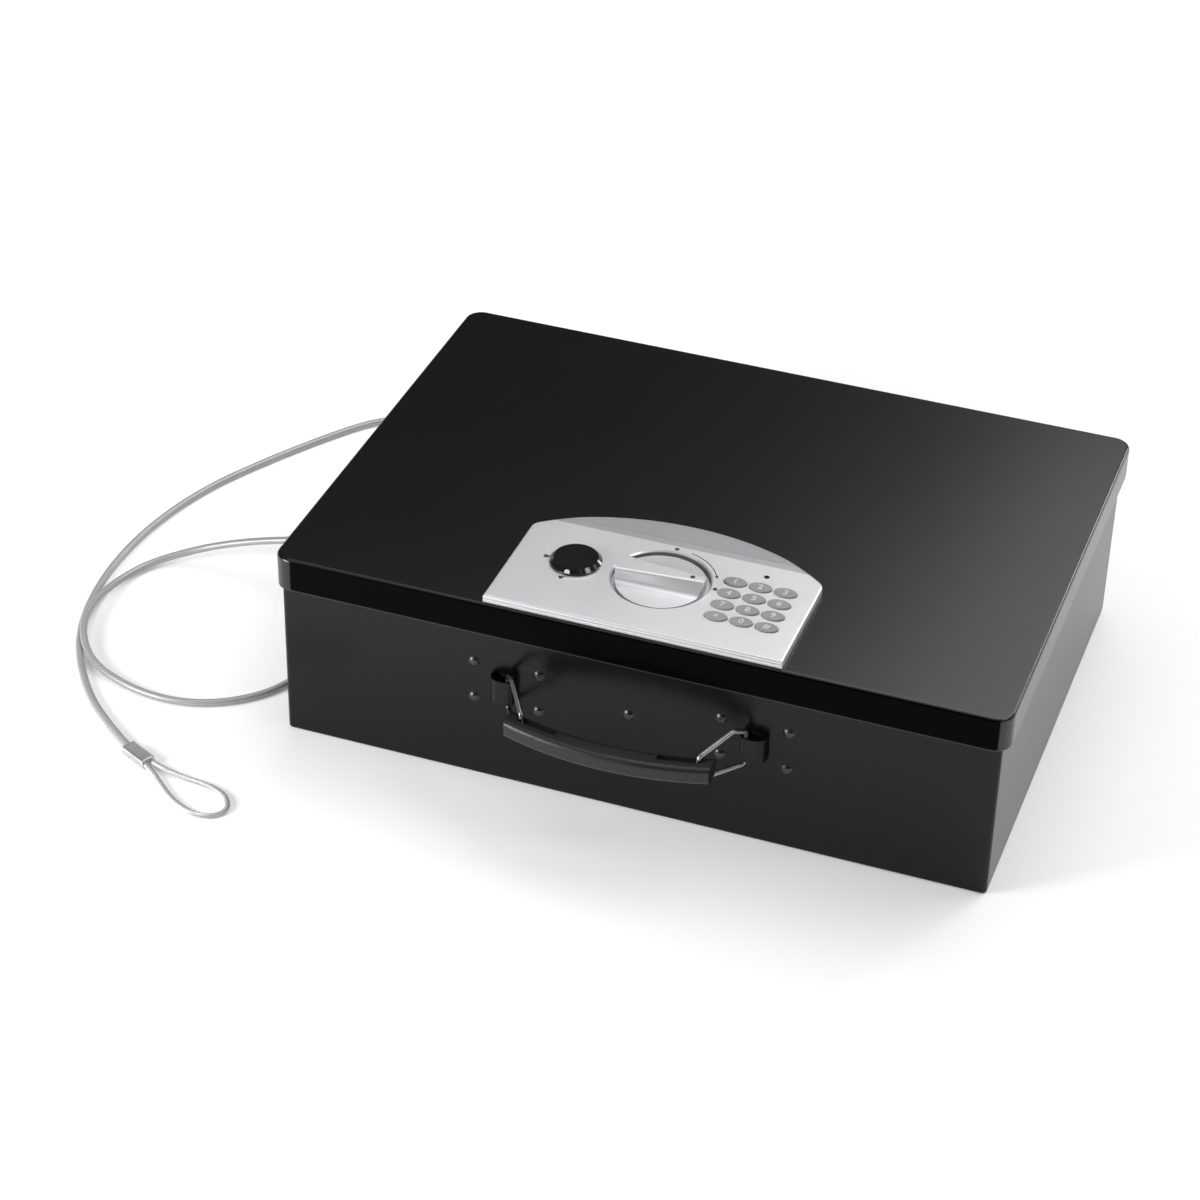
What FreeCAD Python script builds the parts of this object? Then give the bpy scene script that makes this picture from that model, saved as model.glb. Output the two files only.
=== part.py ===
"""Steel lock box with a skirted lid, a key pad lock, a fold-in carrying handle and a security cable.

Millimetres. The origin is the middle of the underside, +X runs right along the front, the front
faces -Y and +Z is up. Every driving size is a cell of the sheet, and pieces take their sizes and
places from those cells.
"""
import FreeCAD, Part
import math
import os
import re

import Sketcher

Vector = FreeCAD.Vector

# Driving sizes

SIZES = {
    # Sheet metal box and lid
    "lid_width": (445, "lid, outside, left to right"),
    "lid_depth": (316, "lid, outside, front to back"),
    "box_height": (127, "floor to the top of the lid"),
    "sheet": (1.5, "thickness of the steel sheet"),
    "skirt_height": (22, "height of the lid's skirt"),
    "lid_overhang": (4, "lid beyond the box on each side"),
    "lid_corner": (11, "outside radius of the lid's upright corners"),
    "lid_edge": (2.2, "outside radius of the lid's top edge"),
    "skirt_round": (0.7, "rounding of the skirt's lower edge"),
    "box_corner": (3, "outside radius of the box's upright corners"),
    "floor_bend": (2, "outside radius of the box's bottom edge"),
    "lid_gap": (1, "room between the box's rim and the lid"),
    "rim_flange": (12, "width of the box's inturned rim"),
    # Rear hinge
    "hinge_length": (396, "length of the hinge"),
    "leaf": (1.2, "thickness of a hinge leaf"),
    "leaf_height": (15, "flat part of a hinge leaf"),
    "knuckle_radius": (3, "outside radius of the hinge barrel"),
    "pin_radius": (1.5, "radius of the hinge pin"),
    "knuckle_gap": (0.4, "end play between two knuckles"),
    "hinge_drop": (0.5, "room between the lid's rear edge and the barrel"),
    "wall_room": (0.3, "room between the hinge barrel and the rear wall"),
    # Fits
    "running_fit": (0.05, "radial clearance of a turning fit"),
    "slide_fit": (0.2, "clearance of a sliding fit"),
    "free_gap": (0.3, "clearance between pieces that pass each other"),
    "overlap": (0.1, "depth by which two shapes of one piece run into each other"),
    # Lock panel
    "panel_width": (180, "lock panel, left to right"),
    "panel_depth": (114.2, "lock panel, front edge to the top of its arch"),
    "panel_setback": (2.5, "panel's front edge behind the lid's front"),
    "panel_rise": (33, "rise of the panel's arched back edge"),
    "panel_thick": (4.8, "thickness of the panel"),
    "panel_skin": (1.5, "panel wall over the key pad"),
    "panel_corner": (8, "radius of the panel's back corners"),
    "panel_edge": (1.2, "rounding of the panel's top edge"),
    "panel_base": (2.4, "height of the panel's lower band"),
    "panel_groove": (0.6, "height and depth of the groove above the lower band"),
    "brow_depth": (20.5, "depth of the sloping band under the arch"),
    "brow_drop": (2.2, "how far the band slopes down"),
    "panel_screw_front_x": (27, "front panel screws, from the middle"),
    "panel_screw_front": (25.5, "front panel screws, from the panel's front edge"),
    "panel_screw_back_x": (78, "back panel screws, from the middle"),
    "panel_screw_back": (80.5, "back panel screws, from the panel's front edge"),
    # Knob and the lock work it drives
    "lock_inset": (55.5, "knob axis behind the lid's front"),
    "knob_radius": (26.8, "radius of the knob"),
    "knob_height": (6.2, "top of the knob's bar above the panel"),
    "knob_sunk": (2, "knob's face below the panel's face"),
    "bar_tail": (16, "width of the bar's top at its tail"),
    "bar_tip": (5.2, "width of the bar's top at its pointing end"),
    "bar_foot": (17, "width of the bar at its foot"),
    "bar_round": (1.6, "rounding of the bar's top edges"),
    "scoop_round": (4, "rounding of the hollow at the bar's foot"),
    "dish_rise": (0.6, "slope of the knob's face from the bar to its edge"),
    "well_width": (3.4, "ring of space round the knob at the panel's face"),
    "well_depth": (4, "depth of the knob's well"),
    "well_bevel": (1, "bevel of the well's edge"),
    "shaft_radius": (4, "radius of the knob's shaft"),
    "bush_wall": (2, "wall of the shaft's bush"),
    "bush_flange": (9, "radius of the bush's flange"),
    "bolt_throw": (10, "travel of the bolts"),
    "knob_turn": (90, "turn of the knob that throws the bolts, degrees"),
    "cam_radius": (24, "radius of the cam"),
    "cam_thick": (4, "thickness of the cam"),
    "cam_start": (10, "follower's distance from the shaft, bolts drawn in"),
    "cam_drop": (2.5, "room between the cam and the bolts"),
    "cam_screw_depth": (6, "cam screw inside the shaft"),
    "follower_radius": (2, "radius of the follower pin"),
    "follower_tab": (9, "half width of the tab that carries the follower pin"),
    "bolt_thick": (3, "thickness of the bolt plate"),
    "rim_room": (1.8, "room between the bolts and the rim above"),
    "bolt_room": (1, "room round the bolts, the guide posts and the shaft"),
    "bolt_width": (24, "width of a bolt"),
    "bolt_spread": (55, "bolts, from the middle"),
    "bolt_bar": (9.5, "width of the bar that joins the bolts"),
    "guide_radius": (2.5, "radius of the bolts' guide posts"),
    "guide_head": (4.2, "radius of a guide post's head"),
    "guide_head_height": (1.8, "height of a guide post's head"),
    "plunger_radius": (3, "radius of the solenoid's plunger"),
    "plunger_throw": (5, "travel of the plunger"),
    "plunger_length": (18, "length of the plunger"),
    "plunger_room": (0.8, "room between the drawn-in plunger and the cam"),
    "solenoid_length": (25, "length of the solenoid's frame"),
    "solenoid_width": (20, "width of the solenoid's frame"),
    "coil_radius": (7.5, "radius of the solenoid's coil"),
    # Override lock under its round cover
    "cover_x": (-52, "key cover, from the middle"),
    "cover_inset": (54.2, "key cover behind the lid's front"),
    "cover_radius": (15.5, "radius of the key cover"),
    "cover_height": (3.6, "key cover above the panel"),
    "cover_wall": (2.2, "wall of the key cover"),
    "cover_notch": (1.9, "radius of the finger notch in the cover's edge"),
    "cylinder_radius": (9.5, "radius of the lock cylinder"),
    "cylinder_head": (11.5, "radius of the lock cylinder's head"),
    "cylinder_length": (19, "lock cylinder below the lid's face"),
    "plug_radius": (6, "radius of the turning plug"),
    "keyway_width": (1.4, "width of the keyway"),
    "keyway_length": (8, "length and depth of the keyway"),
    "lever_length": (16, "reach of the plug's lever"),
    "lever_width": (8, "width of the plug's lever"),
    "lever_thick": (2, "thickness of the plug's lever"),
    "nut_wall": (4, "wall of the cylinder's nut at its corners"),
    "nut_height": (2.9, "height of the cylinder's nut"),
    # Key pad
    "pad_x": (56.7, "middle of the key pad, from the middle"),
    "pad_inset": (49.2, "middle of the key pad behind the lid's front"),
    "key_pitch_x": (15.2, "keys, left to right"),
    "key_pitch_y": (12.25, "keys, row to row"),
    "key_long": (7, "half length of an oval key"),
    "key_short": (4.5, "half width of an oval key"),
    "key_proud": (1.1, "key above the panel"),
    "key_round": (0.8, "rounding of a key's top edge"),
    "key_play": (0.1, "play of a key under the panel"),
    "key_travel": (0.7, "travel of a key"),
    "key_collar": (0.7, "thickness of a key's collar"),
    "mat_thick": (0.7, "thickness of the key mat"),
    "board_thick": (1, "thickness of the circuit boards"),
    "pad_room": (1.2, "room round the key board"),
    "ribbon": (0.4, "thickness of the ribbon from the key board"),
    "ribbon_width": (12, "width of the ribbon"),
    "ribbon_slot": (2, "half width of the lid's slot for the ribbon"),
    "lamp_radius": (1.6, "radius of the status lamp"),
    "lamp_proud": (0.2, "status lamp above the panel"),
    "lamp_inset": (79.7, "status lamp behind the lid's front"),
    # Lock case under the lid
    "case_width": (196, "lock case, left to right"),
    "case_depth": (90, "lock case, front to back"),
    "case_height": (28.5, "lock case, below the lid"),
    "case_wall": (2, "wall of the lock case"),
    "case_room": (2.5, "room between the lock case and the box's rim"),
    "pillar_radius": (4, "radius of the lock case's pillars"),
    "screw_radius": (1.6, "radius of the small screws"),
    "screw_head": (3.2, "radius of the small screws' heads"),
    "screw_head_height": (2, "height of the small screws' heads"),
    "case_screw_depth": (9, "length of a case screw's shank"),
    "cell_radius": (7.2, "radius of a battery cell"),
    "cell_length": (50, "length of a battery cell"),
    "cell_gap": (0.4, "room round a cell"),
    "cell_nub": (1, "length of a cell's raised end"),
    "contact_room": (2.5, "length of a battery contact"),
    "tray_wall": (1.5, "wall of the battery tray"),
    "tray_back": (3, "room behind the battery tray"),
    "boss_height": (1.5, "height of the tray's bosses under the circuit board"),
    "boss_radius": (3, "radius of the tray's bosses"),
    "control_half_y": (25.6, "half depth of the circuit board"),
    "control_offset": (4, "circuit board in front of the tray's middle"),
    "chip_half": (5, "half width of the circuit board's main chip"),
    "chip_height": (2, "height of the circuit board's main chip"),
    "door_thick": (2, "thickness of the battery door"),
    "rail_lip": (1, "lip of the battery door's rails"),
    "thumb_half": (10, "half length of the battery door's thumb bar"),
    # Carrying handle
    "handle_height": (69.5, "handle above the floor"),
    "bridge_x": (77, "middle of a handle bridge, from the middle"),
    "bridge_width": (15, "width of a handle bridge"),
    "bridge_round": (6.5, "rounding of a handle bridge's outer end"),
    "bridge_tall": (16.5, "height of a handle bridge"),
    "bridge_proud": (8.3, "handle bridge in front of the wall"),
    "rivet_x": (76, "middle of a group of rivets, from the middle"),
    "rivet_pitch_x": (40.5, "rivets of a group, left to right"),
    "rivet_pitch_z": (25.6, "rivets of a group, up and down"),
    "rivet_head": (3.6, "radius of a rivet's head"),
    "rivet_dome": (2, "height of a rivet's head"),
    "rivet_radius": (2, "radius of a rivet's shank"),
    "plate_margin": (9, "handle plate beyond the rivets"),
    "wire_radius": (1.5, "radius of the handle's rings"),
    "ring_reach": (34, "ring, from its bridge to the grip"),
    "ring_angle": (56, "rings' angle from the wall at rest, degrees"),
    "ring_fold": (46.8, "turn of a ring as the handle folds in, degrees"),
    "ring_bend": (3, "bend radius of the ring's wire"),
    "ring_room": (0.9, "room between the grip and the rings' arms"),
    "ring_near": (11.4, "half height of a ring at its bridge"),
    "crest_out": (9.8, "crest of a ring's upper arm, from its bridge"),
    "crest_height": (15.8, "crest of a ring's upper arm above the handle's middle"),
    "grip_half": (62, "half length of the grip"),
    "grip_tall": (11, "height of the grip"),
    "grip_thick": (14, "thickness of the grip at its ends"),
    "grip_bow": (10, "how far the middle of the grip bows out"),
    "grip_round": (3.2, "rounding of the grip's long edges"),
    "slot_tilt": (11, "slope of the grip's slots, degrees"),
    "slot_play": (1.1, "extra width of the slots that the rings' arc needs"),
    "slot_spare": (7, "slots beyond the folded rings"),
    # Security cable
    "cable_radius": (2.4, "radius of the coated cable"),
    "eye_radius": (1.6, "radius of the bare cable in the eye"),
    "cable_y": (-5, "cable outlet, from the middle of the left side"),
    "cable_z": (36, "cable outlet above the floor"),
    "grommet_neck": (5, "radius of the outlet's hole"),
    "grommet_flange": (8.5, "radius of the grommet's flange"),
    "grommet_lip": (2, "thickness of the grommet's flange"),
    "grommet_bead": (1.5, "height of the grommet's tapered face"),
    "stop_radius": (5.5, "radius of the swaged stop"),
    "stop_length": (14, "length of the swaged stop"),
    "stop_depth": (8, "cable inside the stop"),
    "floor_gap": (0.1, "lying cable above the floor"),
    "crimp_length": (22.5, "length of the crimped sleeve"),
    "crimp_wide": (4.8, "half width of the crimped sleeve"),
    "crimp_tall": (3.1, "half height of the crimped sleeve"),
}

# Lines and planes that several pieces share

DERIVED = {
    "box_width": "lid_width - 2 * lid_overhang",
    "box_depth": "lid_depth - 2 * lid_overhang",
    "lid_under": "box_height - sheet",
    "rim_top": "lid_under - lid_gap",
    "rim_under": "rim_top - sheet",
    "skirt_bottom": "box_height - skirt_height",
    "lid_front": "-lid_depth / 2",
    "wall_front": "-box_depth / 2",
    "wall_rear": "box_depth / 2",
    "rim_edge": "wall_front + sheet + rim_flange",
    "hinge_y": "wall_rear + knuckle_radius + wall_room",
    "hinge_z": "skirt_bottom - hinge_drop - knuckle_radius",
    "panel_front": "lid_front + panel_setback",
    "panel_back": "panel_front + panel_depth",
    "panel_top": "box_height + panel_thick",
    "lock_y": "lid_front + lock_inset",
    "well_floor": "panel_top - well_depth",
    "knob_face": "panel_top - knob_sunk",
    "knob_top": "panel_top + knob_height",
    "bolt_top": "rim_under - rim_room",
    "bolt_under": "bolt_top - bolt_thick",
    "bolt_tip": "rim_edge + slide_fit + bolt_room",
    "bolt_front": "case_inner_front + bolt_throw + free_gap + slide_fit",
    "bolt_back": "bolt_front + bolt_bar",
    "tab_back": "lock_y - shaft_radius - bolt_room",
    "bush_radius": "shaft_radius + running_fit + bush_wall",
    "cam_top": "bolt_under - cam_drop",
    "cam_under": "cam_top - cam_thick",
    "cam_seat": "cam_under + cam_thick / 2",
    "case_front": "rim_edge + case_room",
    "case_inner_front": "case_front + case_wall",
    "case_back": "case_front + case_depth",
    "case_under": "lid_under - case_height",
    "case_floor": "case_under + case_wall",
    "guide_y": "case_inner_front + guide_head + bolt_room",
    "solenoid_z": "(cam_top + cam_under) / 2",
    "plunger_tip": "lock_y + cam_radius + plunger_room",
    "solenoid_front": "plunger_tip + 2",
    "cover_y": "lid_front + cover_inset",
    "cover_seat": "box_height + slide_fit",
    "cover_roof": "panel_top + cover_height - cover_wall",
    "head_top": "cover_roof - 2 * free_gap",
    "lever_top": "box_height - cylinder_length - free_gap",
    "pad_y": "lid_front + pad_inset",
    "key_under": "panel_top - panel_skin",
    "board_top": "box_height + board_thick",
    "mat_top": "board_top + mat_thick",
    "lamp_y": "lid_front + lamp_inset",
    "pad_half_x": "1.5 * key_pitch_x",
    "pad_half_y": "2 * key_pitch_y",
    "ribbon_y": "pad_y - 1.25 * key_pitch_y",
    "ribbon_z": "bolt_top + 2 * free_gap",
    "ribbon_end": "tray_y - control_offset - control_half_y + boss_radius",
    "tray_x": "case_width / 2 - case_wall - free_gap - tray_wall - tray_half_x",
    "tray_y": "case_back - tray_back - tray_wall - tray_half_y",
    "tray_half_x": "cell_length / 2 + contact_room",
    "tray_half_y": "2 * (2 * cell_radius + cell_gap)",
    "tray_top": "case_floor + 2 * (cell_radius + cell_gap) + tray_wall",
    "control_top": "tray_top + boss_height + board_thick",
    "bridge_front": "wall_front - bridge_proud",
    "pivot_x": "bridge_x - bridge_width / 2 + sheet + wire_radius + slide_fit",
    "pivot_y": "bridge_front + sheet + wire_radius + slide_fit",
    "bar_x": "pivot_x - ring_reach * cos(ring_angle)",
    "bar_y": "pivot_y - ring_reach * sin(ring_angle)",
    "folded_x": "pivot_x - ring_reach * cos(ring_angle - ring_fold)",
    "ring_far": "grip_tall / 2 + wire_radius + ring_room",
    "grip_front": "bar_y - grip_thick / 2",
    "grip_back": "bar_y + grip_thick / 2",
    "wall_left": "-box_width / 2",
}

doc = FreeCAD.newDocument("lock_box")
sheet = doc.addObject("Spreadsheet::Sheet", "Sizes")
for row, (alias, (value, note)) in enumerate(SIZES.items(), start=1):
    sheet.set(f"A{row}", note)
    sheet.set(f"B{row}", str(value))
    sheet.setAlias(f"B{row}", alias)
doc.recompute()

pieces = {}


# Reading the sheet

def link(text):
    """Write an expression with its names as cells of the sheet."""
    def cell(match):
        name = match.group(0)
        if name in DERIVED:
            return "(" + link(DERIVED[name]) + ")"
        return "Sizes." + name if name in SIZES else name
    return re.sub(r"[a-z][a-z_0-9]*", cell, str(text))


def num(text):
    """The present value of an expression."""
    return float(sheet.evalExpression(link(text)))


def point(x, y, z=0):
    """A point whose coordinates are expressions."""
    return Vector(num(x), num(y), num(z))


def bind(obj, **expressions):
    """Tie properties to expressions, with a double underscore for the dot of a path."""
    for path, text in expressions.items():
        obj.setExpression(path.replace("__", "."), link(text))


def keep(label, obj):
    """Name a finished piece."""
    obj.Label = label
    pieces[label] = obj
    return obj


# Sketched bodies

def new_body(name):
    body = doc.addObject("PartDesign::Body", name)
    doc.recompute()
    return body


def origin_feature(body, role):
    return next(item for item in body.Origin.OriginFeatures if item.Role == role)


def sketch_on(body, role, offset="0"):
    """An empty sketch on an origin plane of the body, moved along the plane's normal."""
    sketch = body.newObject("Sketcher::SketchObject", "Profile")
    sketch.AttachmentSupport = [(origin_feature(body, role), "")]
    sketch.MapMode = "FlatFace"
    bind(sketch, AttachmentOffset__Base__z=offset)
    return sketch


def fix(sketch, kind, geometry, end, text):
    """Hold one coordinate of a sketch point at an expression."""
    index = sketch.addConstraint(Sketcher.Constraint(kind, -1, 1, geometry, end, num(text)))
    name = f"size_{index}"
    sketch.renameConstraint(index, name)
    sketch.setExpression(f"Constraints.{name}", link(text))


def hold_radius(sketch, geometry, text):
    """Hold the radius of a circle or arc at an expression."""
    index = sketch.addConstraint(Sketcher.Constraint("Radius", geometry, num(text)))
    name = f"size_{index}"
    sketch.renameConstraint(index, name)
    sketch.setExpression(f"Constraints.{name}", link(text))


def polygon(sketch, corners):
    """A closed outline of straight sides through corners given as pairs of expressions."""
    first = sketch.GeometryCount
    count = len(corners)
    spots = [point(x, y) for x, y in corners]
    for step in range(count):
        sketch.addGeometry(Part.LineSegment(spots[step], spots[(step + 1) % count]))
    for step in range(count):
        following = first + (step + 1) % count
        sketch.addConstraint(Sketcher.Constraint("Coincident", first + step, 2, following, 1))
    for step, (x, y) in enumerate(corners):
        fix(sketch, "DistanceX", first + step, 1, x)
        fix(sketch, "DistanceY", first + step, 1, y)


def rectangle(sketch, x0, x1, y0, y1):
    polygon(sketch, [(x0, y0), (x1, y0), (x1, y1), (x0, y1)])


def circle(sketch, x, y, radius):
    geometry = sketch.addGeometry(Part.Circle(point(x, y), Vector(0, 0, 1), num(radius)))
    fix(sketch, "DistanceX", geometry, 3, x)
    fix(sketch, "DistanceY", geometry, 3, y)
    hold_radius(sketch, geometry, radius)


def pad(body, sketch, length):
    """Raise a sketch along its normal."""
    feature = body.newObject("PartDesign::Pad", "Pad")
    feature.Profile = sketch
    bind(feature, Length=length)
    doc.recompute()
    return feature


def pocket(body, sketch, length, along_normal=False):
    """Cut a sketch out of the body, and make sure that it cut something."""
    before = body.Shape.Volume
    feature = body.newObject("PartDesign::Pocket", "Pocket")
    feature.Profile = sketch
    feature.Reversed = along_normal
    bind(feature, Length=length)
    doc.recompute()
    if body.Shape.Volume >= before - 1e-6:
        raise RuntimeError(f"a pocket of {body.Label} cuts nothing")
    return feature


def dress(body, kind, chosen, **expressions):
    """Round or bevel the edges of the body's tip that a test picks."""
    base = body.Tip
    names = [f"Edge{index}" for index, edge in enumerate(base.Shape.Edges, start=1) if chosen(edge)]
    if not names:
        raise RuntimeError(f"no edge to dress on {body.Label}")
    feature = body.newObject("PartDesign::" + kind, kind)
    feature.Base = (base, names)
    bind(feature, **expressions)
    doc.recompute()
    if "Invalid" in feature.State:
        raise RuntimeError(f"the edges of {body.Label} can not be dressed")
    return feature


def scoop(body, first, second):
    """Cut away all between two sketched sections."""
    feature = body.newObject("PartDesign::SubtractiveLoft", "Scoop")
    feature.Profile = first
    feature.Sections = [second]
    feature.Ruled = True
    doc.recompute()
    return feature


def pattern(body, features, axis, length, count):
    """Repeat features evenly along an axis of the body."""
    feature = body.newObject("PartDesign::LinearPattern", "Pattern")
    feature.Originals = features
    feature.Direction = (origin_feature(body, axis), [""])
    bind(feature, Length=length)
    feature.Occurrences = count
    body.Tip = feature
    doc.recompute()
    return feature


def straight(edge):
    """True for an edge that is no longer than the way between its ends."""
    ends = [vertex.Point for vertex in edge.Vertexes]
    return len(ends) == 2 and edge.Length < ends[0].distanceToPoint(ends[1]) + 1e-6


def upright(edge):
    """True for a straight edge along Z."""
    return straight(edge) and edge.BoundBox.ZLength > edge.Length - 1e-3


def upright_at(side):
    """A test for upright edges at the same distance to the left and to the right."""
    x = num(side)
    return lambda edge: upright(edge) and abs(abs(edge.CenterOfMass.x) - x) < 0.01


def level_at(height):
    """A test for edges that lie flat at a height."""
    z = num(height)
    return lambda edge: abs(edge.BoundBox.ZMin - z) < 0.01 and abs(edge.BoundBox.ZMax - z) < 0.01


# Primitives

def block(x0, x1, y0, y1, z0, z1):
    """A box between limits given as expressions."""
    box = doc.addObject("Part::Box", "Block")
    bind(box, Length=f"({x1}) - ({x0})", Width=f"({y1}) - ({y0})", Height=f"({z1}) - ({z0})",
         Placement__Base__x=x0, Placement__Base__y=y0, Placement__Base__z=z0)
    return box


TURN = {"Z": FreeCAD.Rotation(), "Y": FreeCAD.Rotation(Vector(1, 0, 0), -90),
        "X": FreeCAD.Rotation(Vector(0, 1, 0), 90)}


def rod(x, y, z, length, radius, axis="Z"):
    """A cylinder from a point along an axis."""
    cylinder = doc.addObject("Part::Cylinder", "Rod")
    cylinder.Placement = FreeCAD.Placement(Vector(), TURN[axis])
    bind(cylinder, Radius=radius, Height=length,
         Placement__Base__x=x, Placement__Base__y=y, Placement__Base__z=z)
    return cylinder


def cone(x, y, z, length, radius_start, radius_end, axis="Z"):
    """A cone frustum from a point along an axis."""
    frustum = doc.addObject("Part::Cone", "Cone")
    frustum.Placement = FreeCAD.Placement(Vector(), TURN[axis])
    bind(frustum, Radius1=radius_start, Radius2=radius_end, Height=length,
         Placement__Base__x=x, Placement__Base__y=y, Placement__Base__z=z)
    return frustum


def oval(x, y, z, length, half_long, half_short):
    """An upright prism on an ellipse."""
    ellipse = doc.addObject("Part::Ellipse", "Oval")
    bind(ellipse, MajorRadius=half_long, MinorRadius=half_short,
         Placement__Base__x=x, Placement__Base__y=y, Placement__Base__z=z)
    prism = doc.addObject("Part::Extrusion", "Prism")
    prism.Base = ellipse
    prism.Dir = Vector(0, 0, 1)
    prism.DirMode = "Custom"
    prism.Solid = True
    bind(prism, LengthFwd=length)
    return prism


def fuse(*shapes):
    union = doc.addObject("Part::MultiFuse", "Union")
    union.Shapes = list(shapes)
    return union


def cut(base, *tools):
    difference = doc.addObject("Part::Cut", "Difference")
    difference.Base = base
    difference.Tool = tools[0] if len(tools) == 1 else fuse(*tools)
    return difference


def group(*shapes):
    """Separate solids that share one node."""
    compound = doc.addObject("Part::Compound", "Group")
    compound.Links = list(shapes)
    return compound


def round_edges(base, radius, chosen):
    """Round the edges of a solid that a test picks."""
    doc.recompute()
    fillet = doc.addObject("Part::Fillet", "Rounded")
    fillet.Base = base
    size = num(radius)
    fillet.Edges = [(index, size, size) for index, edge in enumerate(base.Shape.Edges, start=1)
                    if chosen(edge)]
    return fillet


def solid(label, shape):
    """A piece whose shape is worked out from the sheet by the calls above it."""
    feature = doc.addObject("Part::Feature", label)
    feature.Shape = shape
    feature.Placement = FreeCAD.Placement()
    return keep(label, feature)


# Box

SIDES = (-1, 1)


def rivet_spots():
    """X and Z of each handle rivet: four round each bridge and one between them."""
    spots = [("0", "handle_height")]
    for side in SIDES:
        for across in SIDES:
            for up in SIDES:
                spots.append((f"{side} * rivet_x + {across} * rivet_pitch_x / 2",
                              f"handle_height + {up} * rivet_pitch_z / 2"))
    return spots


def make_box_shell():
    body = new_body("box_shell")
    inside = ("sheet - box_width / 2", "box_width / 2 - sheet",
              "sheet - box_depth / 2", "box_depth / 2 - sheet")
    plan = sketch_on(body, "XY_Plane")
    rectangle(plan, "-box_width / 2", "box_width / 2", "-box_depth / 2", "box_depth / 2")
    pad(body, plan, "rim_top")
    hollow = sketch_on(body, "XY_Plane", "rim_top")
    rectangle(hollow, *inside)
    pocket(body, hollow, "rim_top - sheet")
    dress(body, "Fillet", upright_at("box_width / 2"), Radius="box_corner")
    dress(body, "Fillet", upright_at("box_width / 2 - sheet"), Radius="box_corner - sheet")
    dress(body, "Fillet", level_at("0"), Radius="floor_bend")

    rim = sketch_on(body, "XY_Plane", "rim_under")
    rectangle(rim, *inside)
    rectangle(rim, *[f"{limit} {sign} rim_flange" for limit, sign in zip(inside, "+-+-")])
    pad(body, rim, "sheet")

    front = sketch_on(body, "XZ_Plane", "box_depth / 2")
    for x, z in rivet_spots():
        circle(front, x, z, "rivet_radius + running_fit")
    for side in SIDES:
        reach_x, reach_z = "(bridge_width / 2 + free_gap)", "(bridge_tall / 2 + free_gap)"
        rectangle(front, f"{side} * bridge_x - {reach_x}", f"{side} * bridge_x + {reach_x}",
                  f"handle_height - {reach_z}", f"handle_height + {reach_z}")
    pocket(body, front, "2 * sheet")

    left = sketch_on(body, "YZ_Plane", "wall_left")
    circle(left, "cable_y", "cable_z", "grommet_neck")
    pocket(body, left, "2 * sheet", along_normal=True)
    keep("box_shell", body)


# Lid

def panel_screw_spots():
    """X and Y of each panel screw."""
    for side in SIDES:
        yield f"{side} * panel_screw_front_x", "panel_front + panel_screw_front"
        yield f"{side} * panel_screw_back_x", "panel_front + panel_screw_back"


def make_lid_shell():
    body = new_body("lid_shell")
    plan = sketch_on(body, "XY_Plane", "skirt_bottom")
    rectangle(plan, "-lid_width / 2", "lid_width / 2", "-lid_depth / 2", "lid_depth / 2")
    pad(body, plan, "skirt_height")
    hollow = sketch_on(body, "XY_Plane", "skirt_bottom")
    rectangle(hollow, "sheet - lid_width / 2", "lid_width / 2 - sheet",
              "sheet - lid_depth / 2", "lid_depth / 2 - sheet")
    pocket(body, hollow, "skirt_height - sheet", along_normal=True)
    dress(body, "Fillet", upright_at("lid_width / 2"), Radius="lid_corner")
    dress(body, "Fillet", upright_at("lid_width / 2 - sheet"), Radius="lid_corner - sheet")
    dress(body, "Fillet", level_at("box_height"), Radius="lid_edge")
    dress(body, "Fillet", level_at("skirt_bottom"), Radius="skirt_round")

    holes = sketch_on(body, "XY_Plane", "box_height")
    circle(holes, "0", "lock_y", "bush_radius + running_fit")
    circle(holes, "cover_x", "cover_y", "cylinder_radius + running_fit")
    rectangle(holes, "pad_x - ribbon_width", "pad_x + ribbon_width",
              "ribbon_y - ribbon_slot", "ribbon_y + ribbon_slot")
    for x, y in panel_screw_spots():
        circle(holes, x, y, "screw_radius + slide_fit")
    pocket(body, holes, "2 * sheet")
    keep("lid_shell", body)


# Hinge

KNUCKLES = 11


def add_knuckles(body, first, tab):
    """Every second knuckle of a leaf: a tab that runs into a barrel round the pin."""
    pitch = f"hinge_length / {KNUCKLES}"
    start = f"{first} * {pitch} - hinge_length / 2 + knuckle_gap / 2"
    web = sketch_on(body, "YZ_Plane", start)
    rectangle(web, *tab)
    web_pad = pad(body, web, f"{pitch} - knuckle_gap")
    barrel = sketch_on(body, "YZ_Plane", start)
    circle(barrel, "hinge_y", "hinge_z", "knuckle_radius")
    circle(barrel, "hinge_y", "hinge_z", "pin_radius + running_fit")
    barrel_pad = pad(body, barrel, f"{pitch} - knuckle_gap")
    count = (KNUCKLES + 1 - first) // 2
    pattern(body, [web_pad, barrel_pad], "X_Axis", f"{2 * (count - 1)} * {pitch}", count)


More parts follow.
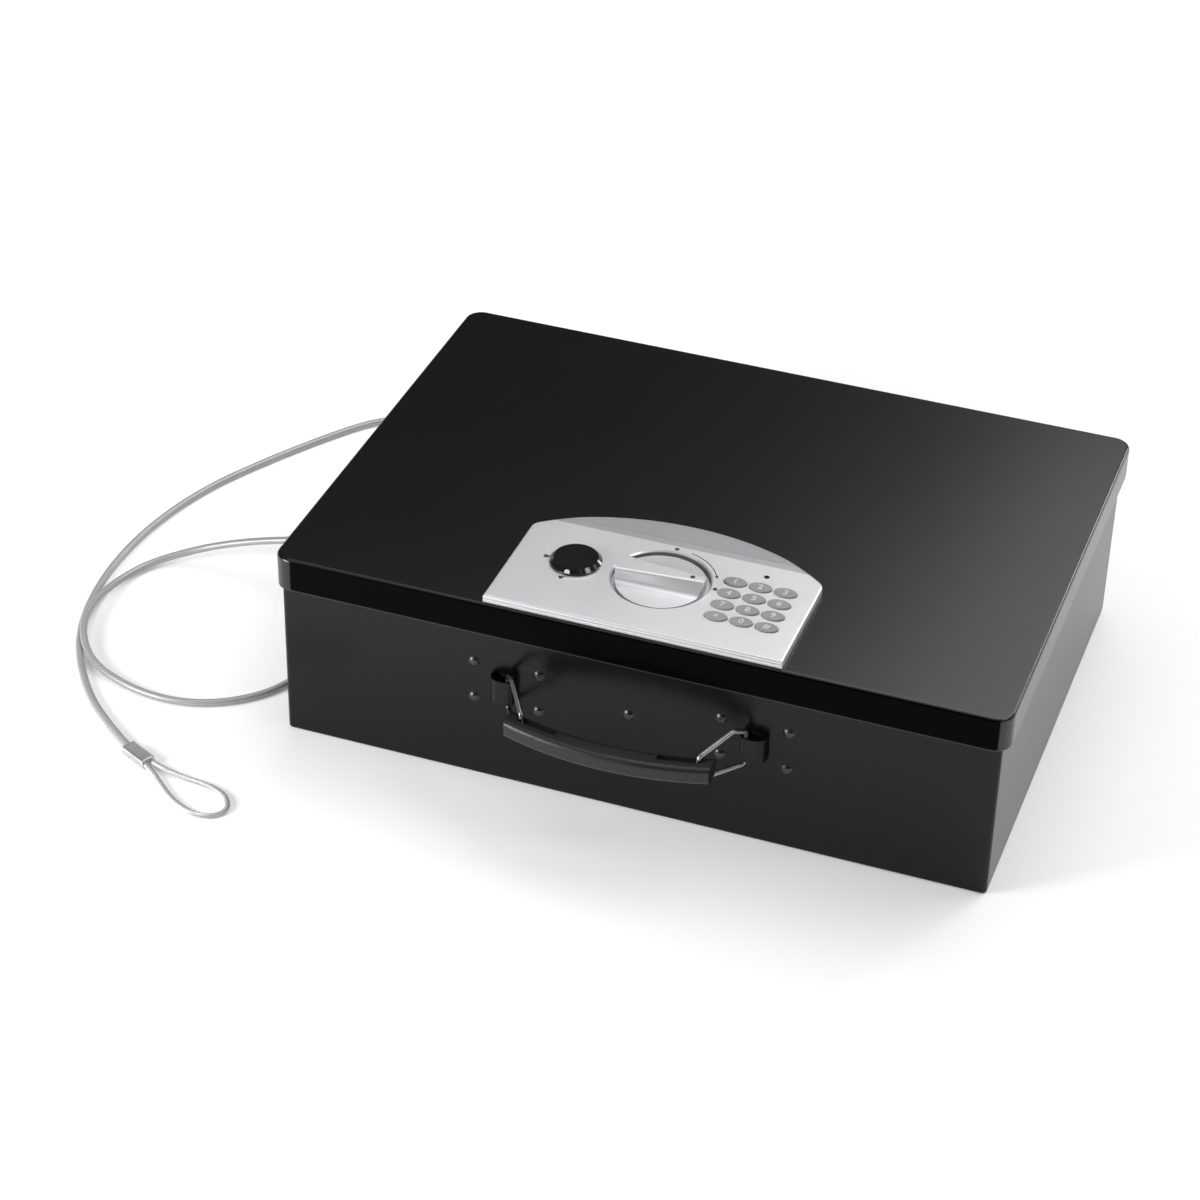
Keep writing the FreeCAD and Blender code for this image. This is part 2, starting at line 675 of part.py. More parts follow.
def make_hinge():
    """Two leaves whose knuckles take turns along one pin."""
    low_edge = "hinge_z - knuckle_radius - knuckle_gap"
    fixed = new_body("hinge_box_leaf")
    flat = sketch_on(fixed, "YZ_Plane", "-hinge_length / 2")
    rectangle(flat, "wall_rear", "wall_rear + leaf", f"{low_edge} - leaf_height", low_edge)
    pad(fixed, flat, "hinge_length")
    add_knuckles(fixed, 0, ("wall_rear", "wall_rear + leaf", f"{low_edge} - leaf", "hinge_z"))
    keep("hinge_box_leaf", fixed)

    high_edge = "skirt_bottom + knuckle_gap"
    inside = "lid_depth / 2 - sheet"
    swinging = new_body("hinge_lid_leaf")
    flat = sketch_on(swinging, "YZ_Plane", "-hinge_length / 2")
    rectangle(flat, f"{inside} - leaf", inside, high_edge, f"{high_edge} + leaf_height")
    pad(swinging, flat, "hinge_length")
    add_knuckles(swinging, 1, (f"{inside} - leaf", inside, "hinge_z + pin_radius + knuckle_gap",
                               f"{high_edge} + leaf"))
    keep("hinge_lid_leaf", swinging)

    keep("hinge_pin", rod("-hinge_length / 2", "hinge_y", "hinge_z", "hinge_length", "pin_radius", "X"))


# Lock panel

KEY_NAMES = ("1", "2", "3", "4", "5", "6", "7", "8", "9", "clear", "0", "enter")


def key_spots():
    """Name, X and Y of each key, row by row from the back."""
    for index, name in enumerate(KEY_NAMES):
        row, column = divmod(index, 3)
        yield name, f"pad_x + {column - 1} * key_pitch_x", f"pad_y + {1.5 - row} * key_pitch_y"


def panel_outline(sketch):
    """A straight front, two straight sides and an arched back."""
    left, right = "-panel_width / 2", "panel_width / 2"
    front, shoulder = "panel_front", "panel_back - panel_rise"
    sketch.addGeometry(Part.LineSegment(point(left, front), point(right, front)))
    sketch.addGeometry(Part.LineSegment(point(right, front), point(right, shoulder)))
    sketch.addGeometry(Part.Arc(point(right, shoulder), point("0", "panel_back"), point(left, shoulder)))
    sketch.addGeometry(Part.LineSegment(point(left, shoulder), point(left, front)))
    for side in range(4):
        sketch.addConstraint(Sketcher.Constraint("Coincident", side, 2, (side + 1) % 4, 1))
    for line, (x, y) in enumerate([(left, front), (right, front), (right, shoulder), (left, shoulder)]):
        fix(sketch, "DistanceX", line, 1, x)
        fix(sketch, "DistanceY", line, 1, y)
    hold_radius(sketch, 2, "((panel_width / 2)^2 + panel_rise^2) / (2 * panel_rise)")


def make_lock_panel():
    body = new_body("panel_body")
    plan = sketch_on(body, "XY_Plane", "box_height")
    panel_outline(plan)
    pad(body, plan, "panel_thick")
    front = num("panel_front + panel_corner")
    dress(body, "Fillet", lambda edge: upright(edge) and edge.CenterOfMass.y > front, Radius="panel_corner")
    dress(body, "Fillet", level_at("panel_top"), Radius="panel_edge")

    groove = sketch_on(body, "XY_Plane", "box_height + panel_base")
    groove_end = "panel_back - panel_rise - panel_corner"
    groove_front = "panel_front + panel_groove"
    inner = "(panel_width / 2 - panel_groove)"
    polygon(groove, [("-panel_width", groove_end), ("-panel_width", "panel_front - panel_corner"),
                     ("panel_width", "panel_front - panel_corner"), ("panel_width", groove_end),
                     (inner, groove_end), (inner, groove_front),
                     (f"-{inner}", groove_front), (f"-{inner}", groove_end)])
    pocket(body, groove, "panel_groove", along_normal=True)

    brow = sketch_on(body, "YZ_Plane", "-panel_width")
    polygon(brow, [("panel_back - brow_depth", "panel_top"),
                   ("panel_back + brow_depth", "panel_top - 2 * brow_drop"),
                   ("panel_back + brow_depth", "panel_top + brow_drop")])
    pocket(body, brow, "2 * panel_width", along_normal=True)

    well = sketch_on(body, "XY_Plane", "panel_top")
    circle(well, "0", "lock_y", "knob_radius + well_width - well_bevel")
    pocket(body, well, "well_depth")
    dress(body, "Chamfer", lambda edge: level_at("panel_top")(edge) and edge.Closed, Size="well_bevel")

    holes = sketch_on(body, "XY_Plane", "panel_top")
    circle(holes, "0", "lock_y", "shaft_radius + free_gap")
    circle(holes, "cover_x", "cover_y", "cover_radius + running_fit")
    circle(holes, "pad_x", "lamp_y", "lamp_radius + running_fit")
    pocket(body, holes, "2 * panel_thick")

    under = sketch_on(body, "XY_Plane", "box_height")
    rectangle(under, "pad_x - pad_half_x - pad_room", "pad_x + pad_half_x + pad_room",
              "pad_y - pad_half_y - pad_room", "pad_y + pad_half_y + pad_room")
    for x, y in panel_screw_spots():
        circle(under, x, y, "screw_radius + running_fit")
    pocket(body, under, "panel_thick - panel_skin", along_normal=True)

    windows = [oval(x, y, "key_under - sheet", "2 * panel_thick",
                    "key_long + slide_fit", "key_short + slide_fit") for name, x, y in key_spots()]
    keep("lock_panel", cut(body, *windows))

    screws = []
    for x, y in panel_screw_spots():
        head = rod(x, y, "lid_under - screw_head_height", "screw_head_height", "screw_head")
        shank = rod(x, y, "lid_under - overlap", "sheet + panel_thick - panel_skin - free_gap",
                    "screw_radius")
        screws.append(fuse(head, shank))
    keep("panel_screws", group(*screws))
    keep("status_lamp", rod("pad_x", "lamp_y", "box_height", "panel_thick + lamp_proud", "lamp_radius"))


# Key pad

def make_key_pad():
    area = ("pad_x - pad_half_x", "pad_x + pad_half_x",
            "pad_y - pad_half_y", "pad_y + pad_half_y")
    keep("keypad_board", block(*area, "box_height", "board_top"))
    keep("keypad_mat", block(*area, "board_top", "mat_top"))
    across = ("pad_x - ribbon_width / 2", "pad_x + ribbon_width / 2")
    near, far = "ribbon_y - ribbon / 2", "ribbon_y + ribbon / 2"
    keep("keypad_ribbon", fuse(
        block(*across, near, far, "ribbon_z", "box_height"),
        block(*across, near, "ribbon_end", "ribbon_z", "ribbon_z + ribbon"),
        block(*across, "ribbon_end - ribbon", "ribbon_end", "control_top", "ribbon_z + ribbon")))
    collar_under = "key_under - key_play - key_collar"
    crown = num("panel_top + key_proud")
    for name, x, y in key_spots():
        stem = oval(x, y, collar_under, f"panel_top + key_proud - ({collar_under})",
                    "key_long", "key_short")
        cap = round_edges(stem, "key_round", lambda edge: edge.BoundBox.ZMin > crown - 0.01)
        collar = oval(x, y, collar_under, "key_collar",
                      "key_long + 2 * slide_fit", "key_short + 5 * slide_fit")
        keep(f"key_{name}", fuse(cap, collar))


# Knob, cam and bolts

def make_knob():
    """A round knob with a bar across it: a disc that is scooped away on both sides of the bar."""
    body = new_body("knob")
    disc = sketch_on(body, "XY_Plane", "well_floor + free_gap")
    circle(disc, "0", "lock_y", "knob_radius")
    pad(body, disc, "knob_top - well_floor - free_gap")
    beyond = "2 * knob_radius"
    sky = "knob_top + knob_height"
    for side in SIDES:
        sections = []
        for end, top in ((-1, "bar_tail"), (1, "bar_tip")):
            section = sketch_on(body, "YZ_Plane", f"{end} * (knob_radius + overlap)")
            polygon(section, [(f"lock_y + {side} * {top} / 2", sky),
                              (f"lock_y + {side} * {top} / 2", "knob_top"),
                              (f"lock_y + {side} * bar_foot / 2", "knob_face + dish_rise"),
                              (f"lock_y + {side} * {beyond}", "knob_face - dish_rise"),
                              (f"lock_y + {side} * {beyond}", sky)])
            sections.append(section)
        scoop(body, *sections)
    for height, radius in (("knob_face + dish_rise", "scoop_round"), ("knob_top", "bar_round")):
        level = level_at(height)
        dress(body, "Fillet", lambda edge: straight(edge) and level(edge), Radius=radius)
    socket = sketch_on(body, "XY_Plane", "well_floor + free_gap")
    circle(socket, "0", "lock_y", "shaft_radius")
    pocket(body, socket, "well_depth - free_gap", along_normal=True)
    keep("knob", body)

    shaft = rod("0", "lock_y", "cam_seat", "panel_top - cam_seat", "shaft_radius")
    keep("knob_shaft", cut(shaft, rod("0", "lock_y", "cam_seat", "cam_screw_depth", "screw_radius")))
    bush = fuse(rod("0", "lock_y", "lid_under - sheet", "2 * sheet", "bush_radius"),
                rod("0", "lock_y", "lid_under - sheet", "sheet", "bush_flange"))
    bore = rod("0", "lock_y", "lid_under - 2 * sheet", "4 * sheet", "shaft_radius + running_fit")
    keep("knob_bush", cut(bush, bore))


def spiral(offset, start, end):
    """One side of the cam's slot: the follower's spiral, moved sideways by an offset.

    The follower stays in front of the shaft and moves out evenly as the cam turns, so the slot's
    distance from the shaft grows by the same amount for each degree.
    """
    rise = num("bolt_throw") / math.radians(num("knob_turn"))
    centre = point("0", "lock_y", "cam_under")
    path = []
    steps = 12
    for step in range(steps + 1):
        turn = math.radians(start + (end - start) * step / steps)
        radius = num("cam_start") + rise * turn
        angle = -math.pi / 2 - turn
        outward = Vector(math.cos(angle), math.sin(angle), 0)
        tangent = Vector(math.sin(angle), -math.cos(angle), 0) * radius + outward * rise
        normal = Vector(tangent.y, -tangent.x, 0).normalize()
        path.append(centre + outward * radius + normal * offset)
    curve = Part.BSplineCurve()
    curve.interpolate(path)
    return curve


def spiral_slot(thick):
    """The cam's slot with round ends, as a solid."""
    half = num("follower_radius + slide_fit / 2")
    past_end = 2.0
    start, end = -past_end, num("knob_turn") + past_end
    inner, middle, outer = (spiral(offset, start, end) for offset in (half, 0.0, -half))
    edges = [inner.toShape(), outer.toShape()]
    for heading in (-1, 1):
        near, mid, far = (curve.FirstParameter if heading < 0 else curve.LastParameter
                          for curve in (inner, middle, outer))
        tip = middle.value(mid) + middle.tangent(mid)[0] * heading * half
        edges.append(Part.Arc(inner.value(near), tip, outer.value(far)).toShape())
    return Part.Face(Part.Wire(Part.__sortEdges__(edges))).extrude(Vector(0, 0, thick))


def make_cam():
    """Cam disc with a spiral slot for the follower and a notch for the plunger at each end of its turn."""
    centre = point("0", "lock_y", "cam_under")
    thick, radius = num("cam_thick"), num("cam_radius")
    shape = Part.makeCylinder(radius, thick, centre).cut(spiral_slot(thick))
    depth, width = num("plunger_throw"), num("2 * (plunger_radius + slide_fit)")
    for angle in (90, 90 - num("knob_turn")):
        notch = Part.makeBox(2 * depth, width, thick, Vector(radius - depth, -width / 2, 0))
        notch.rotate(Vector(), Vector(0, 0, 1), angle)
        notch.translate(centre)
        shape = shape.cut(notch)
    shape = shape.cut(Part.makeCylinder(num("screw_radius + slide_fit"), thick, centre))
    seat = Part.makeCylinder(num("shaft_radius"), thick, point("0", "lock_y", "cam_seat"))
    solid("lock_cam", shape.cut(seat))
    head = rod("0", "lock_y", "cam_under - screw_head_height", "screw_head_height", "screw_head")
    shank = rod("0", "lock_y", "cam_under - overlap", "cam_thick / 2 + cam_screw_depth", "screw_radius")
    keep("cam_screw", fuse(head, shank))


def make_bolts():
    body = new_body("bolt_plate")
    plan = sketch_on(body, "XY_Plane", "bolt_under")
    outer, inner = "(bolt_spread + bolt_width / 2)", "(bolt_spread - bolt_width / 2)"
    tab = "follower_tab"
    right = [("0", "bolt_front"), (inner, "bolt_front"), (inner, "bolt_tip"), (outer, "bolt_tip"),
             (outer, "bolt_back"), (tab, "bolt_back"), (tab, "tab_back")]
    left = [(f"-{x}", y) for x, y in reversed(right[1:])]
    polygon(plan, right + left)
    pad(body, plan, "bolt_thick")
    cuts = sketch_on(body, "XY_Plane", "bolt_top")
    room = "(guide_radius + slide_fit)"
    for side in SIDES:
        rectangle(cuts, f"{side} * bolt_spread - {room}", f"{side} * bolt_spread + {room}",
                  f"guide_y - {room}", f"guide_y + {room} + bolt_throw")
    circle(cuts, "0", "lock_y - cam_start", "follower_radius")
    pocket(body, cuts, "bolt_thick")
    tip = num("bolt_tip")
    dress(body, "Fillet", lambda edge: upright(edge) and abs(edge.CenterOfMass.y - tip) < 0.01,
          Radius="bolt_thick")
    keep("bolt_plate", body)

    keep("follower_pin", rod("0", "lock_y - cam_start", "cam_under + slide_fit",
                             "bolt_top - cam_under - slide_fit", "follower_radius"))
    posts = []
    for side in SIDES:
        spot = (f"{side} * bolt_spread", "guide_y", "bolt_under - slide_fit - guide_head_height")
        reach = "lid_under - bolt_under + slide_fit + guide_head_height"
        posts.append(fuse(rod(*spot, reach, "guide_radius"), rod(*spot, "guide_head_height", "guide_head")))
    keep("bolt_guides", group(*posts))


def make_solenoid():
    half = "solenoid_width / 2"
    back = "solenoid_front + solenoid_length"
    foot = "solenoid_z - coil_radius - sheet"
    bore = "plunger_radius + running_fit"
    window = block("-solenoid_width", "solenoid_width", "solenoid_front + sheet", f"{back} - sheet",
                   f"{foot} + sheet", "lid_under - sheet")
    frame = block(f"-{half}", half, "solenoid_front", back, foot, "lid_under")
    way = rod("0", "solenoid_front", "solenoid_z", "2 * sheet", bore, "Y")
    keep("solenoid_frame", cut(frame, window, way))
    coil_front = ("0", "solenoid_front + sheet", "solenoid_z")
    coil = rod(*coil_front, "solenoid_length - 2 * sheet", "coil_radius", "Y")
    keep("solenoid_coil", cut(coil, rod(*coil_front, "solenoid_length - 4 * sheet", bore, "Y")))
    plunger = rod("0", "plunger_tip", "solenoid_z", "plunger_length", "plunger_radius", "Y")
    tip = num("plunger_tip")
    keep("solenoid_plunger", round_edges(plunger, "plunger_radius / 4",
                                         lambda edge: edge.BoundBox.YMax < tip + 0.01))


# Override lock

def make_override_lock():
    spot = ("cover_x", "cover_y")
    shell = fuse(rod(*spot, "cover_seat", "cover_roof - cover_seat", "cover_radius"),
                 cone(*spot, "cover_roof", "cover_wall", "cover_radius", "cover_radius - cover_wall"))
    notch = rod("cover_x", "cover_y - cover_radius", "cover_roof", "2 * cover_wall", "cover_notch")
    room = rod(*spot, "cover_seat", "cover_roof - cover_seat", "cover_radius - cover_wall")
    keep("key_cover", cut(shell, room, notch))

    bottom = "box_height - cylinder_length"
    bore = rod(*spot, bottom, f"head_top - ({bottom})", "plug_radius + running_fit")
    cylinder = fuse(rod(*spot, bottom, "cylinder_length", "cylinder_radius"),
                    rod(*spot, "box_height", "head_top - box_height", "cylinder_head"))
    keep("key_cylinder", cut(cylinder, bore))

    keyway = block("cover_x - keyway_width / 2", "cover_x + keyway_width / 2",
                   "cover_y - keyway_length / 2", "cover_y + keyway_length / 2",
                   "box_height - keyway_length", "head_top")
    plug = rod(*spot, "lever_top", "head_top - slide_fit - lever_top", "plug_radius")
    keep("key_plug", cut(plug, keyway))
    lever = fuse(rod(*spot, "lever_top - lever_thick", "lever_thick", "plug_radius"),
                 block("cover_x - lever_width / 2", "cover_x + lever_width / 2",
                       "cover_y", "cover_y + lever_length", "lever_top - lever_thick", "lever_top"))
    keep("plug_lever", lever)

    nut = doc.addObject("Part::Prism", "Hexagon")
    nut.Polygon = 6
    bind(nut, Circumradius="cylinder_radius + nut_wall", Height="nut_height", Placement__Base__x="cover_x",
         Placement__Base__y="cover_y", Placement__Base__z="lid_under - nut_height")
    thread = rod(*spot, "lid_under - nut_height", "nut_height", "cylinder_radius + running_fit")
    keep("cylinder_nut", cut(nut, thread))


# Lock case and power

def pillar_spots():
    """X and Y of each pillar that carries the lock case."""
    inset = "(case_wall + pillar_radius + free_gap)"
    side = f"(case_width / 2 - {inset})"
    front, back = f"case_front + {inset}", f"case_back - {inset}"
    beside_solenoid = "(solenoid_width / 2 + tray_x - tray_half_x - tray_wall) / 2"
    return [(f"-{side}", front), (side, front), (f"-{side}", back), (beside_solenoid, back)]


def add_door_rail(body, side):
    """A rail under the case that carries one edge of the battery door."""
    outer = f"tray_x + {side} * (tray_half_x + 2 * slide_fit + tray_wall)"
    web = f"tray_x + {side} * (tray_half_x + 2 * slide_fit)"
    lip = f"tray_x + {side} * (tray_half_x - rail_lip)"
    lip_top = "case_under - door_thick - 2 * slide_fit"
    lip_under = f"{lip_top} - rail_lip"
    rail = sketch_on(body, "XZ_Plane", "-(tray_y + tray_half_y)")
    polygon(rail, [(outer, "case_under"), (web, "case_under"), (web, lip_top),
                   (lip, lip_top), (lip, lip_under), (outer, lip_under)])
    pad(body, rail, "2 * tray_half_y")


def make_lock_case():
    body = new_body("lock_case")
    plan = sketch_on(body, "XY_Plane", "case_under")
    rectangle(plan, "-case_width / 2", "case_width / 2", "case_front", "case_back")
    pad(body, plan, "case_height")
    dress(body, "Fillet", upright, Radius="case_wall")
    dress(body, "Fillet", level_at("case_under"), Radius="case_wall")
    hollow = sketch_on(body, "XY_Plane", "lid_under")
    rectangle(hollow, "case_wall - case_width / 2", "case_width / 2 - case_wall",
              "case_inner_front", "case_back - case_wall")
    pocket(body, hollow, "case_height - case_wall")

    slots = sketch_on(body, "XZ_Plane", "-(case_front)")
    reach = "(bolt_width / 2 + slide_fit)"
    for side in SIDES:
        rectangle(slots, f"{side} * bolt_spread - {reach}", f"{side} * bolt_spread + {reach}",
                  "bolt_under - slide_fit", "bolt_top + slide_fit")
    pocket(body, slots, "2 * case_wall")

    floor = sketch_on(body, "XY_Plane", "case_floor")
    rectangle(floor, "tray_x - tray_half_x", "tray_x + tray_half_x",
              "tray_y - tray_half_y", "tray_y + tray_half_y")
    for x, y in pillar_spots():
        circle(floor, x, y, "screw_radius + slide_fit")
    pocket(body, floor, "2 * case_wall")
    for side in SIDES:
        add_door_rail(body, side)
    keep("lock_case", body)

    pillars, screws = [], []
    for x, y in pillar_spots():
        pillars.append(cut(rod(x, y, "case_floor", "lid_under - case_floor", "pillar_radius"),
                           rod(x, y, "case_floor", "case_screw_depth", "screw_radius + running_fit")))
        screws.append(fuse(rod(x, y, "case_under - screw_head_height", "screw_head_height", "screw_head"),
                           rod(x, y, "case_under - overlap", "case_screw_depth", "screw_radius")))
    keep("case_pillars", group(*pillars))
    keep("case_screws", group(*screws))


def make_power():
    inside = ("tray_x - tray_half_x", "tray_x + tray_half_x",
              "tray_y - tray_half_y", "tray_y + tray_half_y")
    outside = [f"{limit} {sign} tray_wall" for limit, sign in zip(inside, "-+-+")]
    tray = cut(block(*outside, "case_floor", "tray_top"),
               block(*inside, "case_floor", "tray_top - tray_wall"))
    bosses = []
    for across in SIDES:
        for along in SIDES:
            bosses.append(rod(f"tray_x + {across} * (tray_half_x - 2 * boss_radius)",
                              f"tray_y - control_offset + {along} * (control_half_y - 2 * boss_radius)",
                              "tray_top - overlap", "boss_height + overlap", "boss_radius"))
    keep("battery_tray", fuse(tray, *bosses))

    cells, contacts = [], []
    axis_z = "case_floor + cell_radius + cell_gap"
    for row in range(4):
        y = f"tray_y + {row - 1.5} * (2 * cell_radius + cell_gap)"
        can = rod("tray_x - cell_length / 2 + cell_nub", y, axis_z, "cell_length - 2 * cell_nub",
                  "cell_radius", "X")
        nub_x = "tray_x - cell_length / 2" if row % 2 else "tray_x + cell_length / 2 - cell_nub - overlap"
        nub = rod(nub_x, y, axis_z, "cell_nub + overlap", "cell_radius / 3", "X")
        cells.append(fuse(can, nub))
        ends = (("tray_x - tray_half_x", "tray_x - cell_length / 2 - slide_fit"),
                ("tray_x + cell_length / 2 + slide_fit", "tray_x + tray_half_x"))
        for near, far in ends:
            contacts.append(block(near, far, f"{y} - cell_radius / 2", f"{y} + cell_radius / 2",
                                  "case_floor + cell_radius / 2", "case_floor + 3 * cell_radius / 2"))
    keep("battery_cells", group(*cells))
    keep("battery_contacts", group(*contacts))

    door_under = "case_under - slide_fit - door_thick"
    panel = block("tray_x - tray_half_x + slide_fit", "tray_x + tray_half_x - slide_fit",
                  "tray_y - tray_half_y", "tray_y + tray_half_y", door_under, "case_under - slide_fit")
    thumb_bar = block("tray_x - thumb_half", "tray_x + thumb_half", "tray_y - tray_half_y + door_thick",
                      "tray_y - tray_half_y + 2 * door_thick", f"{door_under} - rail_lip", door_under)
    keep("battery_door", fuse(panel, thumb_bar))

    middle_y = "(tray_y - control_offset)"
    board = block("tray_x - tray_half_x", "tray_x + tray_half_x", f"{middle_y} - control_half_y",
                  f"{middle_y} + control_half_y", "control_top - board_thick", "control_top")
    chip = block("tray_x - chip_half", "tray_x + chip_half", f"{middle_y} - chip_half",
                 f"{middle_y} + chip_half", "control_top - overlap", "control_top + chip_height")
    buzzer = rod("tray_x + 3 * chip_half", middle_y, "control_top - overlap", "1.5 * chip_height",
                 "chip_half")
    keep("circuit_board", fuse(board, chip, buzzer))


# Carrying handle

def make_handle_plate():
    """Plate behind the front wall, with a bridge pushed out through a window at each end."""
    body = new_body("handle_plate")
    plan = sketch_on(body, "XZ_Plane", "box_depth / 2 - 2 * sheet")
    edge_x = "(rivet_x + rivet_pitch_x / 2 + plate_margin)"
    edge_z = "(rivet_pitch_z / 2 + plate_margin)"
    rectangle(plan, f"-{edge_x}", edge_x, f"handle_height - {edge_z}", f"handle_height + {edge_z}")
    for x, z in rivet_spots():
        circle(plan, x, z, "rivet_radius + running_fit")
    pad(body, plan, "sheet")
    root = "wall_front + 2 * sheet"
    for side in SIDES:
        low = f"{side} * bridge_x - bridge_width / 2"
        high = f"{side} * bridge_x + bridge_width / 2"
        strap = sketch_on(body, "XY_Plane", "handle_height - bridge_tall / 2")
        polygon(strap, [(low, root), (low, "bridge_front"), (high, "bridge_front"), (high, root),
                        (f"{high} - sheet", root), (f"{high} - sheet", "bridge_front + sheet"),
                        (f"{low} + sheet", "bridge_front + sheet"), (f"{low} + sheet", root)])
        pad(body, strap, "bridge_tall")
    hug = "(wire_radius + slide_fit)"
    for depth, pivot_end, far_end in (("0", f"{hug} + sheet", "bridge_round"),
                                      ("sheet", hug, "bridge_round - sheet")):
        for x, radius in ((f"bridge_x - bridge_width / 2 + {depth}", pivot_end),
                          (f"bridge_x + bridge_width / 2 - {depth}", far_end)):
            level, beside = num(f"bridge_front + {depth}"), upright_at(x)
            dress(body, "Fillet", lambda edge: beside(edge) and abs(edge.CenterOfMass.y - level) < 0.01,
                  Radius=radius)
    keep("handle_plate", body)

    rivets = []
    ball = "(rivet_head^2 + rivet_dome^2) / (2 * rivet_dome)"
    for x, z in rivet_spots():
        dome = doc.addObject("Part::Sphere", "Dome")
        bind(dome, Radius=ball, Placement__Base__x=x, Placement__Base__y=f"wall_front - rivet_dome + {ball}",
             Placement__Base__z=z)
        head = doc.addObject("Part::Common", "Head")
        head.Base = dome
        head.Tool = rod(x, "wall_front - 2 * rivet_dome", z, "2 * rivet_dome", "2 * rivet_head", "Y")
        shank = rod(x, "wall_front - overlap", z, "2 * sheet + overlap", "rivet_radius", "Y")
        tail = rod(x, root, z, "rivet_dome / 2", "rivet_head - rivet_dome / 4", "Y")
        rivets.append(fuse(head, shank, tail))
    keep("handle_rivets", group(*rivets))


def swept_tube(corners, radius, closed=False, bend=None):
    """A round tube along straight runs joined by tangent arcs, with its bend radii and length.

    Each bend is as large as its two runs allow, unless one bend radius is given for all.
    """
    count = len(corners)
    reach_share = 0.45
    starts, ends, arcs, radii = {}, {}, {}, []
    for index in range(count) if closed else range(1, count - 1):
        here = corners[index]
        to_last = corners[index - 1] - here
        to_next = corners[(index + 1) % count] - here
        turn = math.pi - to_last.getAngle(to_next)
        reach = reach_share * min(to_last.Length, to_next.Length)
        if bend:
            reach = bend * math.tan(turn / 2)
        arc_radius = reach / math.tan(turn / 2)
        radii.append(arc_radius)
        starts[index] = here + to_last.normalize() * reach
        ends[index] = here + to_next.normalize() * reach
        inward = (to_last + to_next).normalize()
        middle = here + inward * (arc_radius / math.cos(turn / 2) - arc_radius)
        arcs[index] = Part.Arc(starts[index], middle, ends[index]).toShape()
    edges = []
    for index in range(count) if closed else range(count - 1):
        following = (index + 1) % count
        begin = ends.get(index, corners[index])
        finish = starts.get(following, corners[following])
        edges.append(Part.LineSegment(begin, finish).toShape())
        if following in arcs:
            edges.append(arcs[following])
    path = Part.Wire(edges)
    first = edges[0]
    heading = first.tangentAt(first.FirstParameter)
    profile = Part.Wire(Part.makeCircle(radius, first.Vertexes[0].Point, heading))
    tube = path.makePipeShell([profile], True, False)
    expected = math.pi * radius ** 2 * path.Length
    if abs(tube.Volume - expected) > 0.03 * expected:
        raise RuntimeError("a tube's volume is not its section times its length")
    return tube, radii, path.Length


def grip_outline(sketch):
    """A bar that bows out, with square ends."""
    half, front, bow = num("grip_half"), num("grip_front"), num("grip_bow")
    back = num("grip_back")
    front_left, front_right = Vector(-half, front, 0), Vector(half, front, 0)
    back_left, back_right = Vector(-half, back, 0), Vector(half, back, 0)
    sketch.addGeometry(Part.Arc(front_left, Vector(0, front - bow, 0), front_right))
    sketch.addGeometry(Part.LineSegment(front_right, back_right))
    sketch.addGeometry(Part.Arc(back_left, Vector(0, back - bow, 0), back_right))
    sketch.addGeometry(Part.LineSegment(back_left, front_left))
    for line, arc, end in ((1, 0, 2), (3, 2, 1)):
        sketch.addConstraint(Sketcher.Constraint("Coincident", arc, end, line, 1))
    for line, arc, end in ((1, 2, 2), (3, 0, 1)):
        sketch.addConstraint(Sketcher.Constraint("Coincident", arc, end, line, 2))
    for line, end, x, y in ((1, 1, "grip_half", "grip_front"), (1, 2, "grip_half", "grip_back"),
                            (3, 1, "-grip_half", "grip_back"), (3, 2, "-grip_half", "grip_front")):
        fix(sketch, "DistanceX", line, end, x)
        fix(sketch, "DistanceY", line, end, y)
    for arc in (0, 2):
        hold_radius(sketch, arc, "(grip_half^2 + grip_bow^2) / (2 * grip_bow)")


def make_handle():
    """Two wire rings that turn in the bridges, and a grip whose sloping slots ride on them."""
    up = Vector(0, 0, 1)
    for side, name in ((-1, "left"), (1, "right")):
        pivot = point(f"{side} * pivot_x", "pivot_y", "handle_height")
        outer = point(f"{side} * bar_x", "bar_y", "handle_height")
        near, far = up * num("ring_near"), up * num("ring_far")
        crest = pivot + (outer - pivot).normalize() * num("crest_out") + up * num("crest_height")
        corners = [pivot + near, crest, outer + far, outer - far, pivot - near]
        tube, radii, length = swept_tube(corners, num("wire_radius"), closed=True, bend=num("ring_bend"))
        solid(f"handle_ring_{name}", tube)

    body = new_body("handle_grip")
    plan = sketch_on(body, "XY_Plane", "handle_height - grip_tall / 2")
    grip_outline(plan)
    pad(body, plan, "grip_tall")
    dress(body, "Fillet", lambda edge: edge.Curve.TypeId == "Part::GeomCircle", Radius="grip_round")
    slots = sketch_on(body, "XY_Plane", "handle_height + grip_tall / 2")
    room = "(wire_radius + slide_fit)"
    slant = f"tan(slot_tilt) * (bar_x - folded_x + {room} + slot_spare)"
    back_edge = f"bar_y + {room} / cos(slot_tilt)"
    front_edge = f"bar_y - ({room} + slot_play) / cos(slot_tilt)"
    step_out = f"tan(slot_tilt) * {room}"
    for side in SIDES:
        inner, outer = f"{side} * (folded_x - {room} - slot_spare)", f"{side} * (bar_x + {room})"
        polygon(slots, [(inner, f"{front_edge} - {slant}"), (outer, f"{front_edge} + {step_out}"),
                        (outer, f"{back_edge} + {step_out}"), (inner, f"{back_edge} - {slant}")])
    pocket(body, slots, "grip_tall")
    keep("handle_grip", body)


# Security cable

